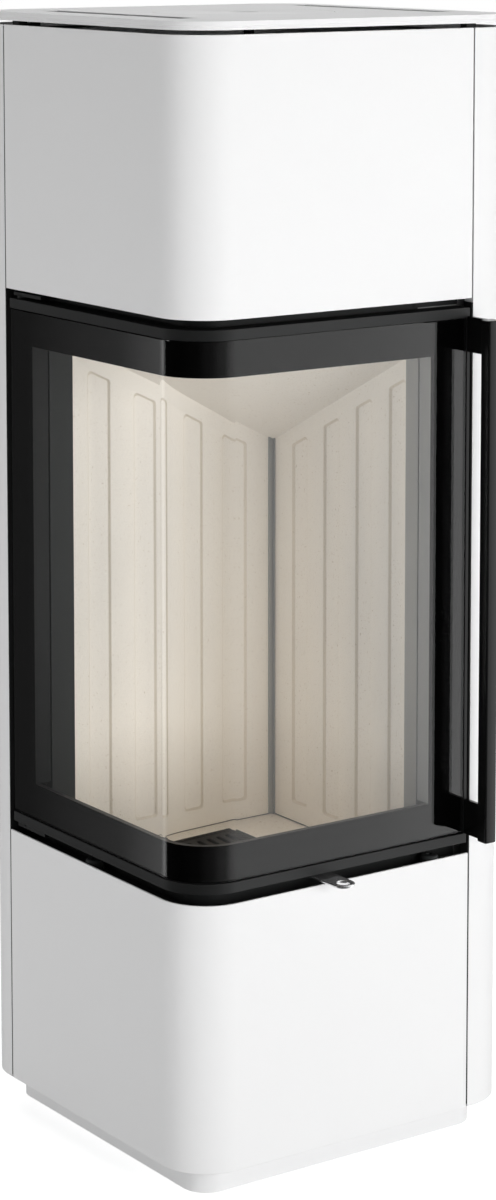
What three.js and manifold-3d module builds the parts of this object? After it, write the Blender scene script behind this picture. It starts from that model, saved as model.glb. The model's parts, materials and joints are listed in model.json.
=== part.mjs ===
// Slim free-standing wood stove: square plan, rounded corners, one L-shaped door with a bent glass.
// Millimetres, +Z up, the front faces -Y. The pieces are laid out from the sharp front left corner of the
// body (x to the right, y to the back), and the whole group is then centred over its plinth.
import * as THREE from 'three';
import { mergeVertices } from 'three/addons/utils/BufferGeometryUtils.js';
import Module from 'manifold-3d';

const wasm = await Module();
wasm.setup();

// ---- driving dimensions ----

// body
const bodyWidth = 470;
const bodyDepth = 470;
const cornerRadius = 62;
const seat = 0.3; // gap between pieces that rest on each other
const past = 1; // how far a cut runs past its piece, and how deep joined bodies run into each other
const panelSheet = 2.5;
const seamFromEdge = 72; // panel seams, from the rear edge and from the right edge
const seamWidth = 2.2;
const seamFlange = 16; // inward return of the side shells beside a seam

// heights, from the floor up
const plinthHeight = 35;
const lowerPanelHeight = 315;
const gapBelowDoor = 13;
const doorHeight = 643.5;
const gapAboveDoor = 11;
const upperPanelHeight = 316;
const shadowGap = 5;
const topPlateThickness = 10;

// plinth, base and feet
const plinthInset = 30;
const plinthSheet = 3;
const baseSheet = 3;
const footRadius = 20;
const footThickness = 6;
const footStemRadius = 5;
const footInset = 80; // foot centre from the body faces
const footHoleRadius = 24;
const footStemAbove = 12;

// top plate
const slotWidth = 26;
const slotLength = 304;
const slotFrontEdge = 94;
const leftSlotEdge = 49.5;
const rightSlotMargin = 27;
const flueCoverRadius = 108.5;
const flueCoverGap = 0.5;
const coverLedge = 10;
const coverThickness = 5.7;
const dimpleRadius = 17.5;
const dimpleDepth = 2.5;
const topFrameWidth = 20;
const topFrameSheet = 3;
const topFrameDrop = 5.5; // below the upper edge of the shells
const spacerLength = 14;
const spacerWidth = 12;

// door
const doorThickness = 26;
const doorBackGap = 9; // door end to the seam line, left wing
const doorRightGap = 3.8; // door end to the seam line, front wing
const railStrip = 12; // bare steel above and below the glass
const glassThickness = 4;
const glassRecess = 0.5;
const glassEdgeGap = 1.5;
const lockEdgeStrip = 3.8;
const printTop = 41.3; // black border of the glass
const printBottom = 42;
const printHinge = 46.2;
const printLock = 50;
const railLip = 7; // depth of the rail part that stands up to the window's edge
const railStep = 14; // the rest of the rail stops this far from the window's edge
const hingeFromFace = 13;
const hingeFromEnd = 13;
const hingeEndRelief = 6; // the hinge stile is thinner behind the pin
const pinRadius = 5;
const pinClearance = 0.3;
const pinLength = 11;
const bracketSheet = 4;
const bracketLength = 62;
const bracketFromFace = 6;
const collarRadius = 9;
const bracketGap = 3; // between a bracket plate and the door's rail
const sealWidth = 9;
const sealThickness = 2.2;
const sealFromWindow = 12;

// handle
const handleBar = 16.3;
const handleEdgeRound = 2;
const handleGap = 33.2; // clear space between door and bar
const handleRightReach = 5.8; // bar beyond the door's end
const handleTopDrop = 10;
const handleBottomRise = 12;
const armThickness = 5;
const armHeight = 42;
const armFromBarEdge = 6.6;

// sealing frame and steel firebox
const sealPlane = 28.5; // front face of the jambs, sill and lintel, from the body faces
const frameSheet = 3;
const sillTopBelowWindow = 13.5;
const lintelAboveWindow = 9;
const liningFromFace = 90; // inner face of the linings, from the rear and right body faces
const liningThickness = 30;
const leftJambWidth = 51;
const rightJambWidth = 69;
const fireboxTopAboveDoor = 113.5;
const cornerStripBackLeg = 7.6;
const cornerStripRightLeg = 4.8;
const cornerStripSheet = 1.7;

// fire chamber
const fireFloorBelowDoor = 52;
const stoneThickness = 30;
const liningGap = 2.2; // dark joint between the floor and the linings
const baffleCornerHeight = 487.3; // underside above the fire floor, in the rear right corner
const baffleRise = 174.25; // from the rear right corner to the front, and to the left
const baffleThickness = 25;
const baffleLeftEdge = 60;
const baffleCut = 190; // length of the two short sides that the front left corner loses
const grooveCount = 4;
const groovePitch = 66.8;
const grooveWidth = 33;
const grooveDepth = 3;
const grooveFromCorner = 41;
const grooveAboveFloor = 24;
const grooveBelowBaffle = 24;
const rearStoneDepth = 25;
const rearStoneJoint = 60; // joint from the right stone
const rearStoneLeft = 103; // left end from the right stone
const rightStoneWidth = 78;

// grate and ash
const grateWidth = 105;
const grateLength = 130;
const grateThickness = 12;
const grateFromStone = 9;
const grateFromRearStone = 8;
const grateGap = 0.5;
const grateLedge = 4;
const grateSlots = 6;
const grateSlotPitch = 16.5;
const grateSlotWidth = 6;
const grateSlotLength = 48;
const grateSlotBridge = 11;
const grateSlotRearMargin = 13;
const panGap = 2;
const panWall = 1.6;
const panBelowGrate = 3;
const ashBoxDepth = 87;
const ashBoxWall = 2.5;
const ashBoxMargin = 6;

// air supply and lever
const ductRadius = 40;
const ductWall = 1.5;
const ductHeight = 125;
const ductBendRadius = 55;
const ductFromFront = 80;
const ductReach = 20; // spigot beyond the back panel
const ledgeDepth = 117; // rear edge of the front ledge, from the front face
const ledgeTopBelowDoor = -4;
const airBoxInset = 4;
const airBoxLeft = 66;
const airBoxRightMargin = 126;
const airBoxSheet = 2;
const airSlotWidth = 9;
const airSlotLength = 34;
const airSlotPitch = 24;
const airSlots = 5;
const leverFromLeft = 190;
const leverWidth = 27;
const leverThickness = 4;
const leverReach = 30; // eye centre in front of the door face
const leverEyeRadius = 7.5;
const leverAboveGapFloor = 5; // above the lower panel's upper edge
const leverSlotClearance = 1.5;
const slidePlateFront = 53;
const slidePlateBack = 96;
const slidePlateLeft = 140;
const slidePlateRight = 320;

// stand, ledges and rests
const standInset = 36;
const standSheet = 2.5;
const standWindowMargin = 60;
const ledgeSheet = 3;
const lowerLedgeDrop = 9;
const upperLedgeRise = 5;
const restRadius = 11;
const restHeight = 12;
const restFromFace = 15;
const leftRestFromSeam = 170;
const frontRestFromSeam = 48;

// flue
const flueRadius = 75;
const flueWall = 2;
const flueReach = 50; // spigot beyond the back panel
const flueHoleGap = 3;
const smokeBoxSize = 172;
const smokeBoxWall = 3;
const smokeBoxHeight = 166;

// finish of the arcs
const arcSteps = 6;
const roundSides = 40;

// ---- places that follow from the driving dimensions ----

const centreX = bodyWidth / 2;
const centreY = bodyDepth / 2;
const seamX = bodyWidth - seamFromEdge;
const seamY = bodyDepth - seamFromEdge;
const lowerPanelTop = plinthHeight + lowerPanelHeight;
const doorBottom = lowerPanelTop + gapBelowDoor;
const doorTop = doorBottom + doorHeight;
const upperPanelBottom = doorTop + gapAboveDoor;
const shellTop = upperPanelBottom + upperPanelHeight;
const plateBottom = shellTop + shadowGap;
const plateTop = plateBottom + topPlateThickness;
const topFrameTop = shellTop - topFrameDrop;
const baseBottom = plinthHeight + seat;
const baseTop = baseBottom + baseSheet;

const doorBackEnd = seamY - doorBackGap;
const doorRightEnd = seamX - doorRightGap;
const glassBottom = doorBottom + railStrip + glassEdgeGap;
const glassTop = doorTop - railStrip - glassEdgeGap / 2;
const glassBackEnd = doorBackEnd - glassEdgeGap;
const glassRightEnd = doorRightEnd - lockEdgeStrip - glassEdgeGap;
const windowBottom = glassBottom + printBottom;
const windowTop = glassTop - printTop;
const windowBack = glassBackEnd - printHinge;
const windowRight = glassRightEnd - printLock;
const glassBack = glassRecess + glassThickness + seat; // first free depth behind the glass
const hingeX = hingeFromFace;
const hingeY = doorBackEnd - hingeFromEnd;

const frameInner = sealPlane + frameSheet;
const liningY = bodyDepth - liningFromFace;
const liningX = bodyWidth - liningFromFace;
const wallY = liningY + liningThickness + seat; // steel wall behind the rear lining
const wallX = liningX + liningThickness + seat;
const fireFloor = doorBottom - fireFloorBelowDoor;
const stoneBottom = fireFloor - stoneThickness;
const floorPlateTop = stoneBottom - seat;
const floorPlateBottom = floorPlateTop - frameSheet;
const fireboxTop = doorTop + fireboxTopAboveDoor;
const sillTop = windowBottom - sillTopBelowWindow;
const lintelBottom = windowTop + lintelAboveWindow;
const jambY = windowBack + seat;
const stoneX = liningX - liningGap - rightStoneWidth; // left edge of the right floor stone
const stoneY = liningY - liningGap - rearStoneDepth; // front edge of the rear floor stones
const grateRight = stoneX - grateFromStone;
const grateBack = stoneY - grateFromRearStone;
const grateLeft = grateRight - grateWidth;
const grateFront = grateBack - grateLength;
const grateBottom = fireFloor - grateThickness;
const leverBottom = lowerPanelTop + leverAboveGapFloor;
const leverTop = leverBottom + leverThickness;
const ledgeTop = doorBottom - ledgeTopBelowDoor;
const flueHeight = fireboxTop + frameSheet + smokeBoxHeight / 2;

// ---- materials ----

const finish = (color, roughness, metalness = 0) =>
  new THREE.MeshStandardMaterial({ color, roughness, metalness });
const whiteSheet = finish(0xf4f4f3, 0.45);
const blackSteel = finish(0x1b1c1c, 0.5, 0.4);
const handleBlack = finish(0x0e0e0e, 0.4, 0.2);
const greySteel = finish(0x55585a, 0.5, 0.6);
const rawSteel = finish(0x8c8f92, 0.45, 0.8);
const polishedSteel = finish(0xc9cbcd, 0.2, 1);
const creamStone = finish(0xdcd5c6, 0.9);
const castIron = finish(0x1a1a1b, 0.75, 0.3);
const ropeSeal = finish(0x3c3b39, 0.95);
const rubber = finish(0x1f1f1f, 0.9);
const clearGlass = new THREE.MeshStandardMaterial({
  color: 0x20242a, roughness: 0.05, metalness: 0, transparent: true, opacity: 0.35,
});

// ---- shape helpers ----

const stove = new THREE.Group();
stove.position.set(-centreX, -centreY, 0);

function add(name, geometry, material, parent = stove) {
  const mesh = new THREE.Mesh(geometry, material);
  mesh.name = name;
  parent.add(mesh);
}

function solidOf(geometry) {
  const bare = geometry.clone();
  bare.deleteAttribute('normal');
  bare.deleteAttribute('uv');
  const merged = mergeVertices(bare, 1e-4);
  return new wasm.Manifold(new wasm.Mesh({
    numProp: 3,
    vertProperties: new Float32Array(merged.attributes.position.array),
    triVerts: new Uint32Array(merged.index.array),
  }));
}

function geometryOf(solid) {
  const mesh = solid.getMesh();
  const geometry = new THREE.BufferGeometry();
  geometry.setAttribute('position', new THREE.BufferAttribute(new Float32Array(mesh.vertProperties), 3));
  geometry.setIndex(new THREE.BufferAttribute(new Uint32Array(mesh.triVerts), 1));
  return geometry;
}

const cut = (base, ...tools) =>
  geometryOf(tools.reduce((solid, tool) => solid.subtract(solidOf(tool)), solidOf(base)));
const join = (first, ...others) =>
  geometryOf(others.reduce((solid, other) => solid.add(solidOf(other)), solidOf(first)));

function box(x0, x1, y0, y1, z0, z1) {
  const geometry = new THREE.BoxGeometry(x1 - x0, y1 - y0, z1 - z0);
  return geometry.translate((x0 + x1) / 2, (y0 + y1) / 2, (z0 + z1) / 2);
}

// outline in plan, raised from z0 to z1
function prism(shape, z0, z1) {
  const geometry = new THREE.ExtrudeGeometry(shape,
    { depth: z1 - z0, bevelEnabled: false, curveSegments: arcSteps });
  return geometry.translate(0, 0, z0);
}

// outline drawn in x and z, as thick as y0 to y1
function slabAcross(shape, y0, y1) {
  const geometry = new THREE.ExtrudeGeometry(shape,
    { depth: y1 - y0, bevelEnabled: false, curveSegments: arcSteps });
  return geometry.rotateX(Math.PI / 2).translate(0, y1, 0);
}

// outline drawn in y and z, as thick as x0 to x1
function slabAlong(shape, x0, x1) {
  const geometry = new THREE.ExtrudeGeometry(shape,
    { depth: x1 - x0, bevelEnabled: false, curveSegments: arcSteps });
  const turn = new THREE.Matrix4().makeBasis(
    new THREE.Vector3(0, 1, 0), new THREE.Vector3(0, 0, 1), new THREE.Vector3(1, 0, 0));
  return geometry.applyMatrix4(turn).translate(x0, 0, 0);
}

function upright(x, y, radius, z0, z1, sides = roundSides) {
  return new THREE.CylinderGeometry(radius, radius, z1 - z0, sides)
    .rotateX(Math.PI / 2).translate(x, y, (z0 + z1) / 2);
}

function lying(x, z, radius, y0, y1) {
  return new THREE.CylinderGeometry(radius, radius, y1 - y0, roundSides).translate(x, (y0 + y1) / 2, z);
}

function polygon(...points) {
  return new THREE.Shape(points.map(([x, y]) => new THREE.Vector2(x, y)));
}

// the body's outline, set in by a distance on all sides
function bodyOutline(inset) {
  const radius = cornerRadius - inset;
  const right = bodyWidth - cornerRadius;
  const back = bodyDepth - cornerRadius;
  const shape = new THREE.Shape();
  shape.moveTo(cornerRadius, inset);
  shape.absarc(right, cornerRadius, radius, -Math.PI / 2, 0);
  shape.absarc(right, back, radius, 0, Math.PI / 2);
  shape.absarc(cornerRadius, back, radius, Math.PI / 2, Math.PI);
  shape.absarc(cornerRadius, cornerRadius, radius, Math.PI, Math.PI * 1.5);
  return shape;
}

// a strip bent round the front left corner, between two depths from the body faces
function bentStrip(outer, inner, backEnd, rightEnd) {
  const shape = new THREE.Shape();
  shape.moveTo(rightEnd, outer);
  shape.lineTo(rightEnd, inner);
  shape.absarc(cornerRadius, cornerRadius, cornerRadius - inner, Math.PI * 1.5, Math.PI, true);
  shape.lineTo(inner, backEnd);
  shape.lineTo(outer, backEnd);
  shape.absarc(cornerRadius, cornerRadius, cornerRadius - outer, Math.PI, Math.PI * 1.5);
  return shape;
}

// ---- plinth, base plate, feet, stand ----

function plinthPan() {
  const feet = footPlaces().map(([x, y]) => upright(x, y, footHoleRadius, -past, plinthSheet + past));
  const hollow = prism(bodyOutline(plinthInset + plinthSheet), plinthSheet, plinthHeight + past);
  return cut(prism(bodyOutline(plinthInset), 0, plinthHeight), hollow, ...feet);
}

function footPlaces() {
  return [
    [footInset, footInset],
    [bodyWidth - footInset, footInset],
    [bodyWidth - footInset, bodyDepth - footInset],
    [footInset, bodyDepth - footInset],
  ];
}

function basePlate() {
  const stems = footPlaces().map(([x, y]) =>
    upright(x, y, footStemRadius + seat, baseBottom - past, baseTop + past));
  return cut(prism(bodyOutline(panelSheet + seat), baseBottom, baseTop), ...stems);
}

function levellingFoot(x, y) {
  const disc = upright(x, y, footRadius, 0, footThickness);
  return join(disc, upright(x, y, footStemRadius, footThickness - past, baseTop + footStemAbove, 16));
}

add('plinth', plinthPan(), whiteSheet);
add('base_plate', basePlate(), rawSteel);
footPlaces().forEach(([x, y], index) => add(`levelling_foot_${index + 1}`, levellingFoot(x, y), rawSteel));

const standBottom = baseTop + seat;
const standTop = floorPlateBottom - seat;
const standRight = wallX - (standInset - sealPlane);
const standBack = wallY - (standInset - sealPlane);

function standBox() {
  const outer = box(standInset, standRight, standInset, standBack, standBottom, standTop);
  const inner = box(standInset + standSheet, standRight - standSheet, standInset + standSheet,
    standBack - standSheet, standBottom - past, standTop + past);
  const windowLow = standBottom + standWindowMargin;
  const windowHigh = standTop - standWindowMargin;
  const sideWindow = box(standInset - past, standRight + past, standInset + standWindowMargin,
    standBack - standWindowMargin, windowLow, windowHigh);
  const frontWindow = box(standInset + standWindowMargin, standRight - standWindowMargin,
    standInset - past, standInset + standSheet + past, windowLow, windowHigh);
  const ductHole = lying(centreX, ductHeight, ductRadius + seat, standBack - standSheet - past,
    standBack + past);
  return cut(outer, inner, sideWindow, frontWindow, ductHole);
}

add('stand', standBox(), rawSteel);

// ---- cladding ----

const panelEndX = seamX - seamWidth / 2;
const panelEndY = seamY - seamWidth / 2;
const shellStartX = seamX + seamWidth / 2;
const shellStartY = seamY + seamWidth / 2;

// the body's outer skin, without its top and bottom
function skin(...removed) {
  const inner = prism(bodyOutline(panelSheet), plinthHeight - past, shellTop + past);
  return cut(prism(bodyOutline(0), plinthHeight, shellTop), inner, ...removed);
}

const skinReach = (x0, x1, y0, y1) => box(x0, x1, y0, y1, plinthHeight - past, shellTop + past);
const seamReturn = (x0, x1, y0, y1) =>
  box(x0, x1, y0, y1, baseTop + seat, topFrameTop - topFrameSheet - seat);

// wraps the front right corner, the right side and the rear right corner, with a return at both ends
function rightSideShell() {
  const returnEnd = shellStartX + panelSheet;
  return join(
    skin(skinReach(-past, shellStartX, -past, bodyDepth + past)),
    seamReturn(shellStartX, returnEnd, panelSheet / 2, seamFlange),
    seamReturn(shellStartX, returnEnd, bodyDepth - seamFlange, bodyDepth - panelSheet / 2));
}

// wraps the rear left corner, with a return at both ends
function rearLeftShell() {
  const rightEnd = bodyWidth - shellStartX;
  return join(
    skin(skinReach(-past, bodyWidth + past, -past, shellStartY),
      skinReach(rightEnd, bodyWidth + past, -past, bodyDepth + past)),
    seamReturn(panelSheet / 2, seamFlange, shellStartY, shellStartY + panelSheet),
    seamReturn(rightEnd - panelSheet, rightEnd, bodyDepth - seamFlange, bodyDepth - panelSheet / 2));
}

function backPanel() {
  const left = bodyWidth - seamX + seamWidth / 2;
  const sheetPlate = box(left, panelEndX, bodyDepth - panelSheet, bodyDepth, plinthHeight, shellTop);
  const flueHole = lying(centreX, flueHeight, flueRadius + flueHoleGap, bodyDepth - panelSheet - past,
    bodyDepth + past);
  const ductHole = lying(centreX, ductHeight, ductRadius + seat, bodyDepth - panelSheet - past,
    bodyDepth + past);
  return cut(sheetPlate, flueHole, ductHole);
}

const panelStrip = () => bentStrip(0, panelSheet, panelEndY, panelEndX);

add('lower_panel', prism(panelStrip(), plinthHeight, lowerPanelTop), whiteSheet);
add('upper_panel', prism(panelStrip(), upperPanelBottom, shellTop), whiteSheet);
add('right_side_panel', rightSideShell(), whiteSheet);
add('rear_left_panel', rearLeftShell(), whiteSheet);
add('back_panel', backPanel(), whiteSheet);

// strips that the bent panels hook onto
const lowerLedgeTop = lowerPanelTop - lowerLedgeDrop;
const upperLedgeBottom = upperPanelBottom + upperLedgeRise;
const ledgeStrip = () => bentStrip(panelSheet + seat, sealPlane - seat, panelEndY, panelEndX);

add('lower_ledge', prism(ledgeStrip(), lowerLedgeTop - ledgeSheet, lowerLedgeTop), blackSteel);
add('upper_ledge', prism(ledgeStrip(), upperLedgeBottom, upperLedgeBottom + ledgeSheet), blackSteel);

// ---- top: frame, pads, plate, flue cover ----

function topFrame() {
  const inset = panelSheet + seat;
  const inner = bodyOutline(inset + topFrameWidth);
  const outer = bodyOutline(inset);
  return cut(prism(outer, topFrameTop - topFrameSheet, topFrameTop),
    prism(inner, topFrameTop - topFrameSheet - past, topFrameTop + past));
}

function topPlate() {
  const slotAt = (left) => box(left, left + slotWidth, slotFrontEdge, slotFrontEdge + slotLength,
    plateBottom - past, plateTop + past);
  const coverSeat = plateTop - coverThickness - seat;
  return cut(prism(bodyOutline(0), plateBottom, plateTop),
    slotAt(leftSlotEdge),
    slotAt(bodyWidth - rightSlotMargin - slotWidth),
    upright(centreX, centreY, flueCoverRadius + flueCoverGap, coverSeat, plateTop + past, roundSides * 2),
    upright(centreX, centreY, flueCoverRadius - coverLedge, plateBottom - past, coverSeat + past,
      roundSides * 2));
}

function flueCover() {
  const disc = upright(centreX, centreY, flueCoverRadius, plateTop - coverThickness, plateTop,
    roundSides * 2);
  return cut(disc, upright(centreX, centreY, dimpleRadius, plateTop - dimpleDepth, plateTop + past));
}

function spacerAt(x, y, sizeX, sizeY) {
  return box(x, x + sizeX, y, y + sizeY, topFrameTop + seat, plateBottom - seat);
}

add('top_frame', topFrame(), blackSteel);
const padInset = panelSheet + seat * 2;
const padX = seamX - seamWidth - spacerLength / 2;
const padY = seamY - seamWidth - spacerLength;
add('top_spacer_1', spacerAt(padInset, padY - spacerLength, spacerWidth, spacerLength), rubber);
add('top_spacer_2', spacerAt(padX, padInset, spacerLength, spacerWidth), rubber);
add('top_spacer_3', spacerAt(bodyWidth - padInset - spacerWidth, padY, spacerWidth, spacerLength), rubber);
add('top_spacer_4', spacerAt(bodyWidth - seamX, bodyDepth - padInset - spacerWidth, spacerLength,
  spacerWidth), rubber);
add('top_plate', topPlate(), whiteSheet);
add('flue_cover', flueCover(), whiteSheet);

// ---- sealing frame and steel firebox ----

// plan outline of the firebox, set in from its outer face
function fireboxOutline(inset = 0) {
  const near = sealPlane + inset;
  const farX = wallX + frameSheet - inset;
  const farY = wallY + frameSheet - inset;
  const shape = new THREE.Shape();
  shape.moveTo(farX, near);
  shape.lineTo(farX, farY);
  shape.lineTo(near, farY);
  shape.absarc(cornerRadius, cornerRadius, cornerRadius - near, Math.PI, Math.PI * 1.5);
  return shape;
}

const sealStrip = () => bentStrip(sealPlane, frameInner, jambY - seat, windowRight);

function sill() {
  const leverSlot = box(leverFromLeft - leverWidth / 2 - leverSlotClearance,
    leverFromLeft + leverWidth / 2 + leverSlotClearance,
    sealPlane - past, frameInner + past, leverBottom - leverSlotClearance, leverTop + leverSlotClearance);
  return cut(prism(sealStrip(), stoneBottom, sillTop), leverSlot);
}

const lipY = liningY - seat - frameSheet; // lips of the jambs lie in front of the linings
const lipX = liningX - seat - frameSheet;
const wallBottom = floorPlateTop + seat;

// underside of the sloping baffle, which rises towards the left and towards the front
const riseLeft = (x) => (baffleRise * (liningX - x)) / (liningX - frameInner);
const riseFront = (y) => (baffleRise * (liningY - y)) / (liningY - frameInner);
const baffleUnder = (x, y) => fireFloor + baffleCornerHeight + riseLeft(x) + riseFront(y);

// plane cut across a lining's top: the piece above the baffle's underside is taken away
function aboveBaffle() {
  const lift = fireboxTop;
  const block = box(0, bodyWidth, 0, bodyDepth, 0, lift);
  return shearToBaffle(block, -seat);
}

function shearToBaffle(geometry, rise) {
  const position = geometry.attributes.position;
  for (let index = 0; index < position.count; index += 1) {
    const x = position.getX(index);
    const y = position.getY(index);
    position.setZ(index, position.getZ(index) + baffleUnder(x, y) + rise);
  }
  return geometry;
}

// sealing flange beside the door's hinge end, and the lip that holds the rear lining
function leftJamb() {
  const flange = box(sealPlane, frameInner, jambY, wallY - seat, wallBottom, fireboxTop - seat);
  const lip = box(sealPlane + past, frameInner + leftJambWidth, lipY, lipY + frameSheet, wallBottom,
    fireboxTop - past);
  return join(flange, cut(lip, aboveBaffle()));
}

function rightJamb() {
  const flange = box(windowRight + seat, wallX - seat, sealPlane, frameInner, wallBottom, fireboxTop - seat);
  const lip = box(lipX, lipX + frameSheet, sealPlane + past, frameInner + rightJambWidth, wallBottom,
    fireboxTop - past);
  return join(flange, cut(lip, aboveBaffle()));
}

function fireboxFloor() {
  const airHole = upright(centreX, ductFromFront, ductRadius - ductWall, floorPlateBottom - past,
    floorPlateTop + past);
  const ashHole = box(grateLeft + grateLedge, grateRight - grateLedge, grateFront + grateLedge,
    grateBack - grateLedge, floorPlateBottom - past, floorPlateTop + past);
  return cut(prism(fireboxOutline(), floorPlateBottom, floorPlateTop), airHole, ashHole);
}

function fireboxTopPlate() {
  const flueHole = upright(centreX, centreY, flueRadius, fireboxTop - past, fireboxTop + frameSheet + past);
  return cut(prism(fireboxOutline(), fireboxTop, fireboxTop + frameSheet), flueHole);
}

add('firebox_floor', fireboxFloor(), rawSteel);
add('firebox_back', box(sealPlane, wallX + frameSheet, wallY, wallY + frameSheet, wallBottom,
  fireboxTop - seat), rawSteel);
add('firebox_right', box(wallX, wallX + frameSheet, sealPlane, wallY - seat, wallBottom, fireboxTop - seat),
  rawSteel);
add('firebox_top', fireboxTopPlate(), rawSteel);
add('left_jamb', leftJamb(), greySteel);
add('right_jamb', rightJamb(), greySteel);
add('sill', sill(), blackSteel);
add('lintel', prism(sealStrip(), lintelBottom, fireboxTop - seat), blackSteel);

// ---- linings, baffle and floor ----

// grooves of a lining, as far from the rear right corner as listed, drawn in the lining's own direction
function grooveOutlines(cornerPlace, riseAt) {
  return Array.from({ length: grooveCount }, (_, index) => {
    const near = cornerPlace - grooveFromCorner - index * groovePitch;
    const far = near - grooveWidth;
    const low = fireFloor + grooveAboveFloor;
    const topAt = (place) => fireFloor + baffleCornerHeight + riseAt(place) - grooveBelowBaffle;
    return polygon([far, low], [near, low], [near, topAt(near)], [far, topAt(far)]);
  });
}

function backLining() {
  const panel = box(frameInner + seat, liningX, liningY, wallY - seat, stoneBottom, fireboxTop - past);
  const grooves = grooveOutlines(liningX, riseLeft)
    .map((shape) => slabAcross(shape, liningY - past, liningY + grooveDepth));
  return cut(panel, aboveBaffle(), ...grooves);
}

function rightLining() {
  const panel = box(liningX + seat, wallX - seat, frameInner + seat, wallY - seat, stoneBottom,
    fireboxTop - past);
  const grooves = grooveOutlines(liningY, riseFront)
    .map((shape) => slabAlong(shape, liningX + seat - past, liningX + seat + grooveDepth));
  return cut(panel, aboveBaffle(), ...grooves);
}

function cornerStrip() {
  const farX = liningX - seat;
  const farY = liningY - seat;
  const shape = polygon([farX, farY], [farX - cornerStripBackLeg, farY],
    [farX - cornerStripBackLeg, farY - cornerStripSheet],
    [farX - cornerStripSheet, farY - cornerStripSheet], [farX - cornerStripSheet, farY - cornerStripRightLeg],
    [farX, farY - cornerStripRightLeg]);
  return cut(prism(shape, fireFloor + seat, fireboxTop - past), aboveBaffle());
}

function bafflePlate() {
  const far = [wallX - seat, wallY - seat];
  const shape = polygon(far, [baffleLeftEdge, far[1]], [baffleLeftEdge, baffleLeftEdge + baffleCut],
    [baffleLeftEdge + baffleCut, baffleLeftEdge], [far[0], baffleLeftEdge]);
  return shearToBaffle(prism(shape, 0, baffleThickness), 0);
}

add('back_lining', backLining(), creamStone);
add('right_lining', rightLining(), creamStone);
add('corner_strip', cornerStrip(), greySteel);
add('baffle_plate', bafflePlate(), creamStone);

const floorBackEdge = liningY - liningGap;
const bedFront = ledgeDepth + seat;
const bedLeft = frameInner + seat;
const bedBack = lipY - seat;
const rearStoneX = stoneX - rearStoneLeft;
const jointX = stoneX - rearStoneJoint;

add('floor_stone_right',
  box(stoneX, liningX - liningGap, bedFront, floorBackEdge, stoneBottom, fireFloor), creamStone);
add('floor_stone_rear_right', box(jointX, stoneX - seat, stoneY, floorBackEdge, stoneBottom, fireFloor),
  creamStone);
add('floor_stone_rear_left', box(rearStoneX, jointX - seat, stoneY, floorBackEdge, stoneBottom, fireFloor),
  creamStone);

// black casting that carries the grate; its rear edge steps round the rear stones
function fireBed() {
  const outline = polygon([bedLeft, bedFront], [stoneX - seat, bedFront], [stoneX - seat, stoneY - seat],
    [rearStoneX - seat, stoneY - seat], [rearStoneX - seat, bedBack], [bedLeft, bedBack]);
  const recess = box(grateLeft - grateGap, grateRight + grateGap, grateFront - grateGap, grateBack + grateGap,
    grateBottom - seat, fireFloor + past);
  const through = box(grateLeft + grateLedge, grateRight - grateLedge, grateFront + grateLedge,
    grateBack - grateLedge, stoneBottom - past, grateBottom);
  return cut(prism(outline, stoneBottom, fireFloor), recess, through);
}

// two rows of slots, every other one moved towards the front
function grate() {
  const plate = box(grateLeft, grateRight, grateFront, grateBack, grateBottom, fireFloor);
  const firstSlot = (grateLeft + grateRight - (grateSlots - 1) * grateSlotPitch) / 2;
  const slots = [];
  for (let column = 0; column < grateSlots; column += 1) {
    const x = firstSlot + column * grateSlotPitch;
    for (let row = 0; row < 2; row += 1) {
      const back = grateBack - grateSlotRearMargin - row * (grateSlotLength + grateSlotBridge);
      slots.push(box(x - grateSlotWidth / 2, x + grateSlotWidth / 2, back - grateSlotLength, back,
        grateBottom - past, fireFloor + past));
    }
  }
  return cut(plate, ...slots);
}

const ashBoxBottom = floorPlateBottom - seat - ashBoxDepth;

function ashBox() {
  const left = grateLeft + grateLedge - ashBoxMargin;
  const right = grateRight - grateLedge + ashBoxMargin;
  const front = grateFront + grateLedge - ashBoxMargin;
  const back = grateBack - grateLedge + ashBoxMargin;
  const hollow = box(left + ashBoxWall, right - ashBoxWall, front + ashBoxWall, back - ashBoxWall,
    ashBoxBottom + ashBoxWall, floorPlateBottom + past);
  return cut(box(left, right, front, back, ashBoxBottom, floorPlateBottom - seat), hollow);
}

function ashPan() {
  const inset = grateLedge + panGap;
  const bottom = ashBoxBottom + ashBoxWall + seat;
  const top = grateBottom - panBelowGrate;
  const outer = box(grateLeft + inset, grateRight - inset, grateFront + inset, grateBack - inset,
    bottom, top);
  const wall = inset + panWall;
  return cut(outer, box(grateLeft + wall, grateRight - wall, grateFront + wall, grateBack - wall,
    bottom + panWall, top + past));
}

add('fire_bed', fireBed(), castIron);
add('grate', grate(), castIron);
add('ash_box', ashBox(), rawSteel);
add('ash_pan', ashPan(), greySteel);

// ---- air supply ----

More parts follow.
